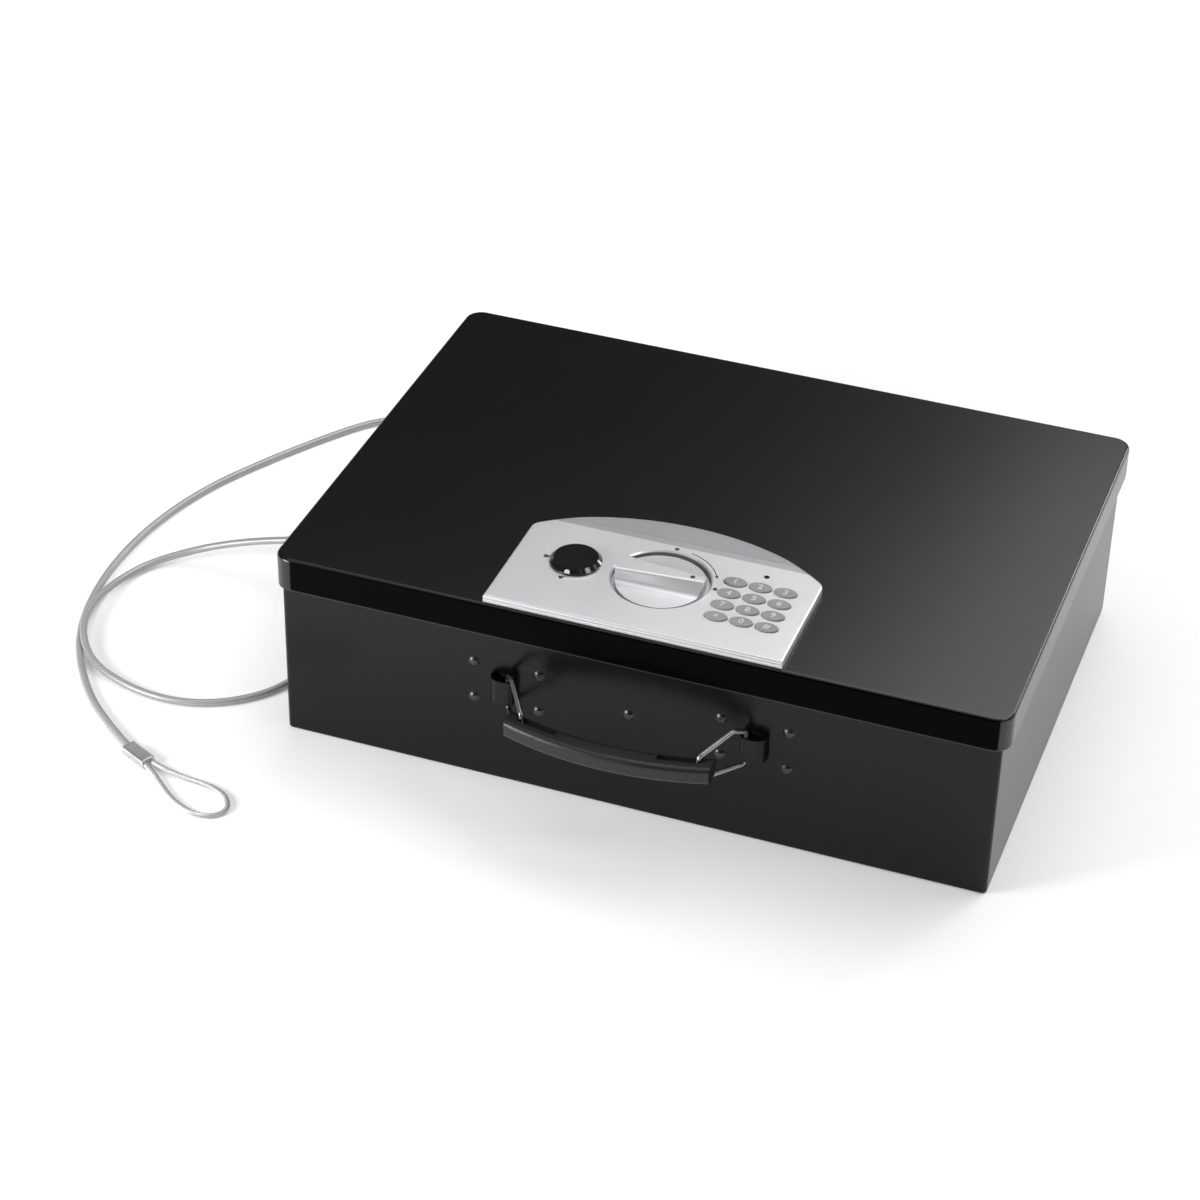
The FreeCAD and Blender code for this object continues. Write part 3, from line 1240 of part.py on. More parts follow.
# The cable leaves the left side, drops to the floor and lies there in two loose turns that end in an
# eye. Each point of the route is millimetres out from the wall, millimetres along the wall from the
# outlet, and a share of the outlet's height: 1 at the outlet and 0 where the cable lies on the floor.
CABLE_ROUTE = [
    (-29.5, 0, 1), (-68.5, -2.5, 0.76), (-104.5, -3, 0.37), (-132.5, -7.5, 0.09), (-153.5, -24, 0),
    (-164.5, -49, 0), (-166, -77, 0), (-155.5, -106, 0), (-134.5, -132, 0), (-103.5, -150, 0),
    (-70.5, -153.5, 0), (-41.5, -142, 0), (-19.5, -119, 0), (-10, -85, 0), (-6.9, -43, 0),
    (-6.1, 7, 0), (-6.5, 55, 0), (-8.3, 103, 0), (-12.5, 148, 0), (-21.5, 181, 0),
    (-37.5, 205, 0), (-63.5, 209, 0), (-85.5, 189, 0), (-106.5, 158, 0), (-131.5, 115, 0),
    (-155.5, 71, 0), (-173, 21, 0), (-178.5, -29, 0), (-172.5, -78, 0), (-159.5, -119, 0),
    (-136.5, -155, 0), (-108.5, -184, 0), (-75, -208.5, 0.03),
]
# The sleeve's ends, and the eye's wire with shares of the sleeve's height above the floor.
SLEEVE = [(-81.1, -205), (-61, -215)]
EYE_ROUTE = [
    (-65.6, -210.8, 1), (-51, -217.2, 0.6), (-34.5, -221.2, 0), (-18, -222.8, 0), (-4.5, -228.5, 0),
    (0.9, -238, 0), (-4.5, -246.5, 0), (-16.5, -248, 0), (-31.5, -242, 0), (-43.5, -232.5, 0),
    (-55, -222, 0.6), (-67.1, -213.9, 1),
]


def route_points(route, low, high):
    """Points of a route between two heights, from shares of the way up."""
    foot = point("wall_left", "cable_y")
    floor, rise = num(low), num(high) - num(low)
    return [foot + Vector(out, along, floor + share * rise) for out, along, share in route]


def make_cable():
    sleeve_z = "crimp_tall + floor_gap"
    lying = "cable_radius + floor_gap"
    inner_end = point("wall_left + sheet + grommet_lip + stop_depth", "cable_y", "cable_z")
    main = [inner_end] + route_points(CABLE_ROUTE, lying, "cable_z")
    eye = route_points(EYE_ROUTE, "eye_radius + floor_gap", sleeve_z)
    tubes = []
    for label, route, radius in (("cable", main, "cable_radius"), ("cable_eye", eye, "eye_radius")):
        tube, radii, length = swept_tube(route, num(radius))
        tubes.append(tube)
        solid(label, tube)
        print(label, "length", round(length), "bend radii", [round(value) for value in radii])

    start, end = route_points([(out, along, 1) for out, along in SLEEVE], "0", sleeve_z)
    heading = (end - start).normalize()
    profile = Part.Face(Part.Wire(Part.Ellipse(Vector(), num("crimp_wide"), num("crimp_tall")).toShape()))
    across = Vector(-heading.y, heading.x, 0)
    profile.Placement = FreeCAD.Placement(start, FreeCAD.Rotation(across, Vector(0, 0, 1), heading, "ZXY"))
    sleeve = profile.extrude(heading * num("crimp_length"))
    for tube in tubes:
        sleeve = sleeve.cut(tube)
    solid("crimp_sleeve", sleeve)

    outlet = ("cable_y", "cable_z")
    lip = "wall_left - grommet_lip - grommet_bead"
    inner_face = "wall_left + sheet"
    grommet = fuse(cone(lip, *outlet, "grommet_bead", "grommet_neck", "grommet_flange", "X"),
                   rod("wall_left - grommet_lip", *outlet, "grommet_lip", "grommet_flange", "X"),
                   rod("wall_left", *outlet, "sheet", "grommet_neck", "X"),
                   rod(inner_face, *outlet, "grommet_lip", "grommet_flange", "X"))
    hole = rod(lip, *outlet, "2 * grommet_lip + grommet_bead + sheet", "cable_radius", "X")
    keep("cable_grommet", cut(grommet, hole))
    stop_face = f"{inner_face} + grommet_lip"
    stop = rod(stop_face, *outlet, "stop_length", "stop_radius", "X")
    keep("cable_stop", cut(stop, rod(stop_face, *outlet, "stop_depth", "cable_radius", "X")))


# Build, check and write

def build():
    make_box_shell()
    make_lid_shell()
    make_hinge()
    make_lock_panel()
    make_key_pad()
    make_knob()
    make_cam()
    make_bolts()
    make_solenoid()
    make_override_lock()
    make_lock_case()
    make_power()
    make_handle_plate()
    make_handle()
    make_cable()
    doc.recompute()


def check():
    """Stop before anything is written if an object failed or a piece is not sound."""
    failed = [item.Name for item in doc.Objects if {"Invalid", "Error"} & set(item.State)]
    if failed:
        raise RuntimeError(f"failed objects: {failed}")
    for label, piece in pieces.items():
        if piece.Shape.isNull() or not piece.Shape.isValid() or not piece.Shape.Solids:
            raise RuntimeError(f"{label} is not a sound solid")


def write():
    os.makedirs("parts", exist_ok=True)
    for label, piece in pieces.items():
        piece.Shape.exportStep(f"parts/{label}.step")
    print(len(pieces), "pieces")


build()
check()
write()
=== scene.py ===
"""Steel lock box with a key pad: finishes, printed marks, security cable and studio round the frame."""

import math

import bmesh
import bpy
from bpy.props import FloatProperty, FloatVectorProperty, PointerProperty
from mathutils import Matrix, Vector


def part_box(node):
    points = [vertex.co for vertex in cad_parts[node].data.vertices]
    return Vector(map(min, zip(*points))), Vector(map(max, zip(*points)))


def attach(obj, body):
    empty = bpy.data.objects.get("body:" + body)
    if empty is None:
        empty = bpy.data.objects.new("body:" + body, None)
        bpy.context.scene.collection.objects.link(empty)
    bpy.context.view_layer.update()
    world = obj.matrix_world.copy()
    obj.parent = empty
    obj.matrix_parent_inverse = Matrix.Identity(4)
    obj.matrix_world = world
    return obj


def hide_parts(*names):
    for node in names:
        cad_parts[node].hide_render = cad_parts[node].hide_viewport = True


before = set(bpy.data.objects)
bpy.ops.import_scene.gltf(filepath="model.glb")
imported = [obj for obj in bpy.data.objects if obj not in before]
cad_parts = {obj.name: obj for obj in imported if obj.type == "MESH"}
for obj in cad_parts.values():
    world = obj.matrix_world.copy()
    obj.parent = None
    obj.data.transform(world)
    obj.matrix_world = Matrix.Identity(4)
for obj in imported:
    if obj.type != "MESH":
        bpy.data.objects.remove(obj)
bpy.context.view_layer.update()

bl_info = {
    "name": "Lock box",
    "version": (1, 0, 0),
    "blender": (4, 5, 0),
    "location": "View3D > Sidebar > Lock box",
    "description": "Finishes, printed marks, security cable and studio of a steel lock box",
    "category": "Object",
}

MM = 0.001
BLACK = (0.0, 0.0, 0.0, 1.0)
WHITE = (1.0, 1.0, 1.0, 1.0)
# Places that are nearer than this are the same place
NEAR = 1e-6


# What a user may change

def length(name, description, default):
    return FloatProperty(name=name, description=description, default=default, min=0.0, unit="LENGTH")


def turn(name, description, degrees):
    return FloatProperty(name=name, description=description, default=math.radians(degrees),
                         subtype="ANGLE", unit="ROTATION")


def colour(name, description, default):
    return FloatVectorProperty(name=name, description=description, default=default, size=3,
                               min=0.0, max=1.0, subtype="COLOR")


def watts(name, description, default):
    return FloatProperty(name=name, description=description, default=default, min=0.0, unit="POWER")


class LockBoxColours(bpy.types.PropertyGroup):
    """Colours of the finishes."""
    coat: colour("Coat", "Powder coat of the box, the lid and the handle plate", (0.003, 0.003, 0.0033))
    inside: colour("Inside", "Powder coat inside the box and under the lid", (0.02, 0.02, 0.021))
    wire: colour("Right ring", "Plating of the handle's right ring", (0.42, 0.42, 0.41))
    # The left ring's darker plating is painted shade: both rings have the same plating
    shaded_wire: colour("Left ring", "Plating of the handle's left ring, which has dulled", (0.2, 0.2, 0.2))
    rivet: colour("Rivets", "Blackened heads of the rivets", (0.07, 0.07, 0.072))
    grip: colour("Grip", "Moulded plastic of the grip", (0.0085, 0.0085, 0.009))
    cover: colour("Key cover", "Glossy plastic of the key cover", (0.0075, 0.0075, 0.008))
    panel: colour("Panel", "Silver paint of the lock panel and the knob", (0.73, 0.738, 0.752))
    brow: colour("Brow", "Band under the panel's arch", (0.46, 0.468, 0.482))
    keys: colour("Keys", "Grey rubber of the keys", (0.28, 0.28, 0.275))
    ink: colour("Print", "Ink of the marks on the panel and the knob", (0.028, 0.028, 0.03))
    numeral: colour("Numerals", "Ink of the numerals on the keys", (0.6, 0.6, 0.59))
    index: colour("Index", "White bead in the key cover's notch", (0.75, 0.75, 0.74))
    lamp: colour("Lamp", "Smoked lens of the status lamp", (0.035, 0.028, 0.026))
    zinc: colour("Zinc", "Plated steel of the lock work and the hinge pin", (0.56, 0.57, 0.58))
    brass: colour("Brass", "Lock cylinder and plug", (0.62, 0.46, 0.2))
    case: colour("Lock case", "Moulded plastic under the lid", (0.075, 0.077, 0.08))
    board: colour("Board", "Solder mask of the circuit boards", (0.012, 0.09, 0.03))
    track: colour("Tracks", "Tracks that show through the solder mask", (0.03, 0.17, 0.06))
    ribbon: colour("Ribbon", "Flat cable of the key pad", (0.42, 0.42, 0.43))
    rubber: colour("Rubber", "Key mat and grommet", (0.02, 0.02, 0.021))
    copper: colour("Copper", "Winding of the solenoid", (0.5, 0.17, 0.06))
    wrap: colour("Cells", "Wrapping of the battery cells", (0.06, 0.06, 0.075))
    cable: colour("Cable", "Vinyl coat of the security cable", (0.4, 0.4, 0.405))
    strand: colour("Strand", "Bare wire of the eye", (0.56, 0.56, 0.565))
    crimp: colour("Sleeve", "Pressed alloy sleeve", (0.62, 0.62, 0.63))


class LockBoxSizes(bpy.types.PropertyGroup):
    """Sizes of the pieces that are added to the frame."""
    cable: length("Cable", "Diameter of the coated cable", 4.8 * MM)
    eye: length("Eye", "Diameter of the bare wire in the eye", 3.2 * MM)
    lay: length("Lay", "Length in which a strand goes once round", 21 * MM)
    numeral: length("Numeral", "Height of the numerals", 4.4 * MM)
    stroke: length("Stroke", "How much thicker than the plain font the numerals are drawn", 0.12 * MM)
    film: length("Film", "Thickness of a printed mark", 0.06 * MM)
    dot: length("Dot", "Radius of the panel's dots", 1.4 * MM)
    pointer: length("Pointer", "Radius of the knob's dot", 1.6 * MM)
    ring: length("Mark ring", "Distance of the panel's marks from the knob's axis", 32.6 * MM)
    sleeve: length("Sleeve", "Length of the pressed sleeve", 20.2 * MM)


class LockBoxStudio(bpy.types.PropertyGroup):
    """Camera, floor and lamps."""
    distance: length("Distance", "Camera from the middle of the box", 1955.7 * MM)
    middle: length("Middle", "Height of the point that the camera circles", 53.4 * MM)
    azimuth: turn("Azimuth", "Camera to the right of the front", 16.7754)
    elevation: turn("Elevation", "Camera above the floor", 34.6862)
    pan: turn("Pan", "Camera's aim beyond its azimuth", 2.4507)
    tilt: turn("Tilt", "Camera's aim beyond its elevation", 0.1409)
    roll: turn("Roll", "Camera about its own line of sight", 1.3202)
    lens: FloatProperty(name="Lens", description="Focal length on a 36 mm film", default=94.77, min=1.0,
                        unit="CAMERA")
    floor: length("Floor", "Half width of the floor", 30.0)
    floor_colour: colour("Floor colour", "Pale studio floor", (0.88, 0.88, 0.88))
    top_power: watts("Top lamp", "Soft lamp above the box", 24.0)
    back_power: watts("Back lamp", "Soft lamp behind the box, to the right", 38.0)
    left_power: watts("Left lamp", "Soft lamp in front of the box, to the left", 10.0)
    rim_power: watts("Rim lamp", "Soft lamp that lights the lid's right edge from behind", 9.5)
    right_power: watts("Right lamp", "Soft lamp to the right of the box", 3.5)


def colours():
    return bpy.context.scene.lock_box_colours


def sizes():
    return bpy.context.scene.lock_box_sizes


def studio():
    return bpy.context.scene.lock_box_studio


# Node trees

# The Mix node keeps its sockets for colours at these places
MIX_FACTOR, MIX_FIRST, MIX_SECOND, MIX_RESULT = 0, 6, 7, 2


def add(tree, kind, inputs=None, **settings):
    """A shader node with its settings, and with inputs that are values or other nodes' sockets."""
    node = tree.nodes.new("ShaderNode" + kind)
    for name, value in settings.items():
        setattr(node, name, value)
    for name, value in (inputs or {}).items():
        if isinstance(value, bpy.types.NodeSocket):
            tree.links.new(value, node.inputs[name])
        else:
            node.inputs[name].default_value = value
    return node


def new_group(name, inputs, outputs):
    """An empty effect with named sockets; gives its tree, and what comes in and goes out."""
    group = bpy.data.node_groups.new(name, "ShaderNodeTree")
    for label, kind in inputs:
        group.interface.new_socket(label, in_out="INPUT", socket_type="NodeSocket" + kind)
    for label, kind in outputs:
        group.interface.new_socket(label, in_out="OUTPUT", socket_type="NodeSocket" + kind)
    entry = group.nodes.new("NodeGroupInput").outputs
    result = group.nodes.new("NodeGroupOutput").inputs
    return group, entry, result


def scaled(tree, value, low, high):
    """A value from 0 to 1 brought to another range."""
    return add(tree, "MapRange", {"Value": value, "To Min": low, "To Max": high}).outputs["Result"]


def fade(tree, value, start, end):
    """A mask that goes smoothly from 0 to 1 while a value goes from start to end."""
    return add(tree, "MapRange", {"Value": value, "From Min": start, "From Max": end},
               interpolation_type="SMOOTHSTEP").outputs["Result"]


def math_node(tree, operation, first, second=0.0):
    return add(tree, "Math", {0: first, 1: second}, operation=operation).outputs[0]


def noise(tree, place, scale, detail):
    return add(tree, "TexNoise", {"Vector": place, "Scale": scale, "Detail": detail}).outputs["Fac"]


def swing(tree, value, middle, amount):
    """How far a value is from its middle, times an amount."""
    return math_node(tree, "MULTIPLY", math_node(tree, "SUBTRACT", value, middle), amount)


def shaded(tree, tint, factor):
    """A colour made lighter or darker."""
    return add(tree, "VectorMath", {0: tint, "Scale": factor}, operation="SCALE").outputs["Vector"]


# Effects that several finishes share

# Fine bumps of a coat for each soft one
FINER = 4.0
# Wiping marks: their turn, how much longer than wide they are, how close they lie, and their share
WIPING_TURN = (0.0, 0.0, 0.5)
WIPING_STRETCH = (1.0, 14.0, 1.0)
WIPING_CLOSER = 2.0
WIPING_SHARE = 0.06
# How closely the waver of a band follows its place
WAVER_SCALE = 300.0


def make_grain():
    """Orange peel of a sprayed coat or the spark texture of a mould: soft bumps with fine ones on them."""
    tree, entry, result = new_group(
        "Coat grain", [("Vector", "Vector"), ("Scale", "Float"), ("Fine", "Float")], [("Height", "Float")])
    soft = noise(tree, entry["Vector"], entry["Scale"], 2.0)
    fine = noise(tree, entry["Vector"], math_node(tree, "MULTIPLY", entry["Scale"], FINER), 1.0)
    share = math_node(tree, "MULTIPLY", fine, entry["Fine"])
    tree.links.new(math_node(tree, "ADD", soft, share), result["Height"])
    return tree


def make_drift():
    """A colour that is a little darker and lighter from place to place."""
    tree, entry, result = new_group(
        "Tone drift", [("Vector", "Vector"), ("Colour", "Color"), ("Scale", "Float"), ("Amount", "Float")],
        [("Colour", "Color")])
    cloud = noise(tree, entry["Vector"], entry["Scale"], 4.0)
    change = math_node(tree, "MULTIPLY", swing(tree, cloud, 0.5, entry["Amount"]), 2.0)
    factor = math_node(tree, "ADD", change, 1.0)
    tree.links.new(shaded(tree, entry["Colour"], factor), result["Colour"])
    return tree


def make_handling():
    """Roughness of a surface that hands and cloths have passed over: clouds, and fine wiping streaks."""
    tree, entry, result = new_group(
        "Handled gloss",
        [("Vector", "Vector"), ("Roughness", "Float"), ("Scale", "Float"), ("Amount", "Float")],
        [("Roughness", "Float")])
    cloud = noise(tree, entry["Vector"], entry["Scale"], 2.0)
    drawn = add(tree, "Mapping", {"Vector": entry["Vector"], "Rotation": WIPING_TURN,
                                  "Scale": WIPING_STRETCH})
    closer = math_node(tree, "MULTIPLY", entry["Scale"], WIPING_CLOSER)
    streak = noise(tree, drawn.outputs["Vector"], closer, 2.0)
    both = math_node(tree, "ADD", cloud, math_node(tree, "MULTIPLY", streak, WIPING_SHARE))
    change = swing(tree, both, 0.5 + WIPING_SHARE / 2, entry["Amount"])
    tree.links.new(math_node(tree, "ADD", entry["Roughness"], change), result["Roughness"])
    return tree


def make_flake():
    """Metal flakes in a paint: each cell of a fine mosaic is a little brighter or darker."""
    tree, entry, result = new_group(
        "Metal flake", [("Vector", "Vector"), ("Colour", "Color"), ("Scale", "Float"), ("Amount", "Float")],
        [("Colour", "Color"), ("Height", "Float")])
    cells = add(tree, "TexVoronoi", {"Vector": entry["Vector"], "Scale": entry["Scale"]})
    level = add(tree, "SeparateColor", {"Color": cells.outputs["Color"]}).outputs["Red"]
    factor = math_node(tree, "ADD", swing(tree, level, 0.5, entry["Amount"]), 1.0)
    tree.links.new(shaded(tree, entry["Colour"], factor), result["Colour"])
    tree.links.new(level, result["Height"])
    return tree


def make_bands():
    """Even bands along X: turns of a winding, conductors of a ribbon, strands, drawn lines of a metal."""
    tree, entry, result = new_group(
        "Bands", [("Vector", "Vector"), ("Pitch", "Float"), ("Waver", "Float")], [("Mask", "Float")])
    along = add(tree, "SeparateXYZ", {"Vector": entry["Vector"]}).outputs["X"]
    loose = noise(tree, entry["Vector"], WAVER_SCALE, 2.0)
    shift = math_node(tree, "MULTIPLY", loose, entry["Waver"])
    phase = math_node(tree, "ADD", math_node(tree, "DIVIDE", along, entry["Pitch"]), shift)
    wave = math_node(tree, "SINE", math_node(tree, "MULTIPLY", phase, 2 * math.pi))
    tree.links.new(math_node(tree, "MULTIPLY", math_node(tree, "ADD", wave, 1.0), 0.5), result["Mask"])
    return tree


EFFECTS = {"grain": make_grain, "drift": make_drift, "handling": make_handling, "flake": make_flake,
           "bands": make_bands}
made_effects = {}


def effect(tree, name, **inputs):
    """Place a shared effect in a material; gives its outputs."""
    if name not in made_effects:
        made_effects[name] = EFFECTS[name]()
    return add(tree, "Group", inputs, node_tree=made_effects[name]).outputs


# Finishes

# A mask goes from 0 to 1 between two distances from a face: within the sheet, and round the lid's front lip,
# where painted shade turns the lid's coat dead black
SHEET = (1.2 * MM, 1.4 * MM)
SHADED_LIP_LEFT = (11.3 * MM, 12.3 * MM)
SHADED_LIP_RIGHT = (5.4 * MM, 6.4 * MM)
SHADED_LIP_FACE = (1.6 * MM, 0.9 * MM)
SHADED_LIP_FOOT = (0.9 * MM, 1.5 * MM)
SHADED_LIP_HEAD = (0.5 * MM, 1.1 * MM)
# How far the lid stands out past the walls of the box
OVERHANG = Vector((4.0, 4.0)) * MM
# The panel's band, from its back edge, and the slope below its top, with the painted light of the slope: its
# paint is lighter, to cancel the shade of its backward tilt
BAND = (26.0 * MM, 25.4 * MM)
LIGHTENED_SLOPE = (0.02 * MM, 0.15 * MM)
SLOPE_PAINTED_LIGHT = 1.22
# Painted shade on the wall of the knob's well: from its inner and its outer side, and below the panel's top,
# with the tone of that shade
WELL_RADIUS = 29.4 * MM
WELL_SHADE_INNER = (WELL_RADIUS - 0.5 * MM, WELL_RADIUS - 0.3 * MM)
WELL_SHADE_OUTER = (WELL_RADIUS + 1.2 * MM, WELL_RADIUS + 1.0 * MM)
WELL_SHADE_EDGE = (0.7 * MM, 1.1 * MM)
WELL_PAINTED_SHADE = 0.45


class Finish:
    """A material under construction: its tree, its shader and the place on the piece that patterns read."""

    def __init__(self, name, tint, roughness, metallic=0.0, coat=0.0, coat_roughness=0.1, ior=1.5,
                 uv=False):
        self.material = bpy.data.materials.new(name)
        self.material.use_nodes = True
        self.tree = self.material.node_tree
        self.shader = self.tree.nodes["Principled BSDF"]
        self.place = add(self.tree, "TexCoord").outputs["UV" if uv else "Object"]
        self.tint = (*tint, 1.0)
        self.roughness = roughness
        fixed = {"Base Color": self.tint, "Roughness": roughness, "Metallic": metallic, "Coat Weight": coat,
                 "Coat Roughness": coat_roughness, "IOR": ior}
        for socket, value in fixed.items():
            self.shader.inputs[socket].default_value = value

    def link(self, value, socket):
        self.tree.links.new(value, self.shader.inputs[socket])

    def drift(self, scale, amount):
        self.tint = effect(self.tree, "drift", Vector=self.place, Colour=self.tint, Scale=scale,
                           Amount=amount)["Colour"]
        self.link(self.tint, "Base Color")
        return self

    def handled(self, scale, amount):
        value = effect(self.tree, "handling", Vector=self.place, Roughness=self.roughness, Scale=scale,
                       Amount=amount)["Roughness"]
        self.link(value, "Roughness")
        return self

    def bump(self, height, depth):
        """Relief of a depth in metres."""
        node = add(self.tree, "Bump", {"Height": height, "Distance": depth})
        self.link(node.outputs["Normal"], "Normal")
        return self

    def grain(self, scale, depth, fine=0.3):
        height = effect(self.tree, "grain", Vector=self.place, Scale=scale, Fine=fine)["Height"]
        return self.bump(height, depth)

    def turned(self, rotation):
        """The place turned, so that a pattern along X runs another way."""
        return add(self.tree, "Mapping", {"Vector": self.place, "Rotation": rotation}).outputs["Vector"]

    def span(self, axis, start, end):
        """A mask that goes from 0 to 1 between two places along an axis."""
        along = add(self.tree, "SeparateXYZ", {"Vector": self.place}).outputs[axis]
        return fade(self.tree, along, start, end)

    def past(self, axis, face, steps):
        """A mask that goes from 0 to 1 between two distances past a face."""
        return self.span(axis, face + steps[0], face + steps[1])

    def before(self, axis, face, steps):
        """A mask that goes from 0 to 1 between two distances before a face."""
        return self.span(axis, face - steps[0], face - steps[1])

    def beyond(self, middle, start, end):
        """A mask that goes from 0 to 1 between two distances from an upright axis."""
        flat = add(self.tree, "VectorMath", {0: self.place, 1: (1.0, 1.0, 0.0)}, operation="MULTIPLY")
        away = add(self.tree, "VectorMath", {0: flat.outputs["Vector"], 1: middle}, operation="DISTANCE")
        return fade(self.tree, away.outputs["Value"], start, end)

    def inside(self, low, high):
        """A mask that is 1 within the four walls of a box of sheet steel, and 0 outside."""
        return self.overlap(self.past("X", low.x, SHEET), self.before("X", high.x, SHEET),
                            self.past("Y", low.y, SHEET), self.before("Y", high.y, SHEET))

    def overlap(self, first, *others):
        """Where all masks are 1."""
        for mask in others:
            first = math_node(self.tree, "MULTIPLY", first, mask)
        return first

    def two_tone(self, mask, other):
        """Mix in another colour where a mask is 1."""
        inputs = {MIX_FACTOR: mask, MIX_FIRST: self.tint, MIX_SECOND: (*other, 1.0)}
        self.tint = add(self.tree, "Mix", inputs, data_type="RGBA").outputs[MIX_RESULT]
        self.link(self.tint, "Base Color")
        return self


def paint(material, *names):
    """Give CAD nodes a finish."""
    for name in names:
        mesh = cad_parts[name].data
        mesh.materials.clear()
        mesh.materials.append(material)


def powder_coat(name, tint, roughness, ior=1.5):
    coat = Finish(name, tint, roughness, ior=ior).drift(9.0, 0.18).handled(7.0, 0.03)
    return coat.grain(700.0, 0.005 * MM, 0.15)


def box_coat(name, tint, inner):
    """Powder coat that is thinner, and so a little greyer, on the inside of the box."""
    coat = powder_coat(name, tint, 0.25, 1.34)
    low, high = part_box("lid_shell")
    within = coat.inside(low.xy + OVERHANG, high.xy - OVERHANG)
    return coat.two_tone(coat.overlap(within, coat.past("Z", 0.0, SHEET)), inner)


def lid_coat(name, tint, inner):
    """The same coat, but dead black on the flat of the lid's front lip, and greyer under the lid."""
    coat = powder_coat(name, tint, 0.235)
    low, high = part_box("lid_shell")
    under = coat.overlap(coat.inside(low.xy, high.xy), coat.before("Z", high.z, SHEET))
    coat.two_tone(under, inner)
    # Painted shade: on the flat of the front lip the coat turns metallic, so it reflects only its near-black
    # tint and renders dead black
    shaded_lip = coat.overlap(coat.past("X", low.x, SHADED_LIP_LEFT), coat.before("X", high.x, SHADED_LIP_RIGHT),
                       coat.past("Y", low.y, SHADED_LIP_FACE), coat.past("Z", low.z, SHADED_LIP_FOOT),
                       coat.before("Z", high.z, SHADED_LIP_HEAD))
    coat.link(shaded_lip, "Metallic")
    return coat


def plated(name, tint, roughness, direction=(0.0, 0.0, 0.0)):
    """Rolled and plated metal with drawn lines."""
    metal = Finish(name, tint, roughness, metallic=1.0).drift(60.0, 0.12).handled(40.0, 0.12)
    lines = effect(metal.tree, "bands", Vector=metal.turned(direction), Pitch=0.5 * MM, Waver=1.6)["Mask"]
    return metal.bump(lines, 0.002 * MM).material


def moulded(name, tint, roughness, grain=1500.0, depth=0.02 * MM):
    plastic = Finish(name, tint, roughness).drift(25.0, 0.12).handled(30.0, 0.12)
    return plastic.grain(grain, depth, 0.6).material


def printed(name, tint, roughness, patches=700.0):
    """Ink of a printed mark."""
    return Finish(name, tint, roughness).drift(patches, 0.3).grain(3000.0, 0.004 * MM).material


def silver_paint(name, tint, roughness=0.34):
    """Paint with fine metal flakes."""
    silver = Finish(name, tint, roughness, metallic=0.6, coat=0.15, coat_roughness=0.25).drift(14.0, 0.03)
    silver.handled(22.0, 0.08)
    flakes = effect(silver.tree, "flake", Vector=silver.place, Colour=silver.tint, Scale=5200.0,
                    Amount=0.16)
    silver.tint = flakes["Colour"]
    silver.link(silver.tint, "Base Color")
    return silver.bump(flakes["Height"], 0.0012 * MM)


def panel_paint_with_light_and_shade(name, tint, brow):
    """Silver paint, deeper on the band under the panel's arch, and darker on the wall of the knob's well."""
    silver = silver_paint(name, tint)
    back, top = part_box("lock_panel")[1].yz
    axis = middle_of("knob")
    band = silver.before("Y", back, BAND)
    lightened_slope = silver.before("Z", top, LIGHTENED_SLOPE)
    silver.two_tone(band, brow)
    # Painted light: the tilted part of the band is made lighter, to cancel the shade that its tilt gives
    silver.two_tone(silver.overlap(band, lightened_slope), [SLOPE_PAINTED_LIGHT * value for value in brow])
    # Painted shade: the wall of the knob's well is made darker, as the shade inside it
    well_shade = silver.overlap(silver.beyond(axis, *WELL_SHADE_INNER), silver.beyond(axis, *WELL_SHADE_OUTER),
                          silver.before("Z", top, WELL_SHADE_EDGE))
    return silver.two_tone(well_shade, [WELL_PAINTED_SHADE * value for value in brow])


# Meshes

# Sides of a printed dot, and steps of a printed arc
ROUND_STEPS = 28


def middle_of(node):
    """Middle of a CAD node as seen from above, on the ground."""
    low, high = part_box(node)
    return Vector(((low.x + high.x) / 2, (low.y + high.y) / 2, 0.0))


def outward(degrees):
    """The level direction at an angle from X."""
    angle = math.radians(degrees)
    return Vector((math.cos(angle), math.sin(angle), 0.0))


def new_piece(name, mesh, body, material):
    """Put a finished mesh in the scene, with its body, slot and finish."""
    mesh.materials.append(material)
    piece = bpy.data.objects.new(name, mesh)
    bpy.context.scene.collection.objects.link(piece)
    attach(piece, body)
    return piece


def to_mesh(bm, name):
    bmesh.ops.recalc_face_normals(bm, faces=bm.faces)
    mesh = bpy.data.meshes.new(name)
    bm.to_mesh(mesh)
    bm.free()
    return mesh


def evaluated_mesh(data):
    """The mesh that a curve or a text makes."""
    holder = bpy.data.objects.new("holder", data)
    bpy.context.scene.collection.objects.link(holder)
    graph = bpy.context.evaluated_depsgraph_get()
    mesh = bpy.data.meshes.new_from_object(holder.evaluated_get(graph))
    bpy.data.objects.remove(holder)
    return mesh


def disc(bm, spot, low, high, radius):
    """A short upright cylinder."""
    place = Matrix.Translation((spot.x, spot.y, (low + high) / 2))
    bmesh.ops.create_cone(bm, cap_ends=True, segments=ROUND_STEPS, radius1=radius, radius2=radius,
                          depth=high - low, matrix=place)


def bevel(bm, edges, offset, segments):
    bmesh.ops.bevel(bm, geom=edges, offset=offset, segments=segments, profile=0.5, affect="EDGES",
                    material=-1)


def bisect(bm, place, direction, **settings):
    """Cut through the whole mesh."""
    return bmesh.ops.bisect_plane(bm, geom=[*bm.verts, *bm.edges, *bm.faces], plane_co=place,
                                  plane_no=direction, **settings)


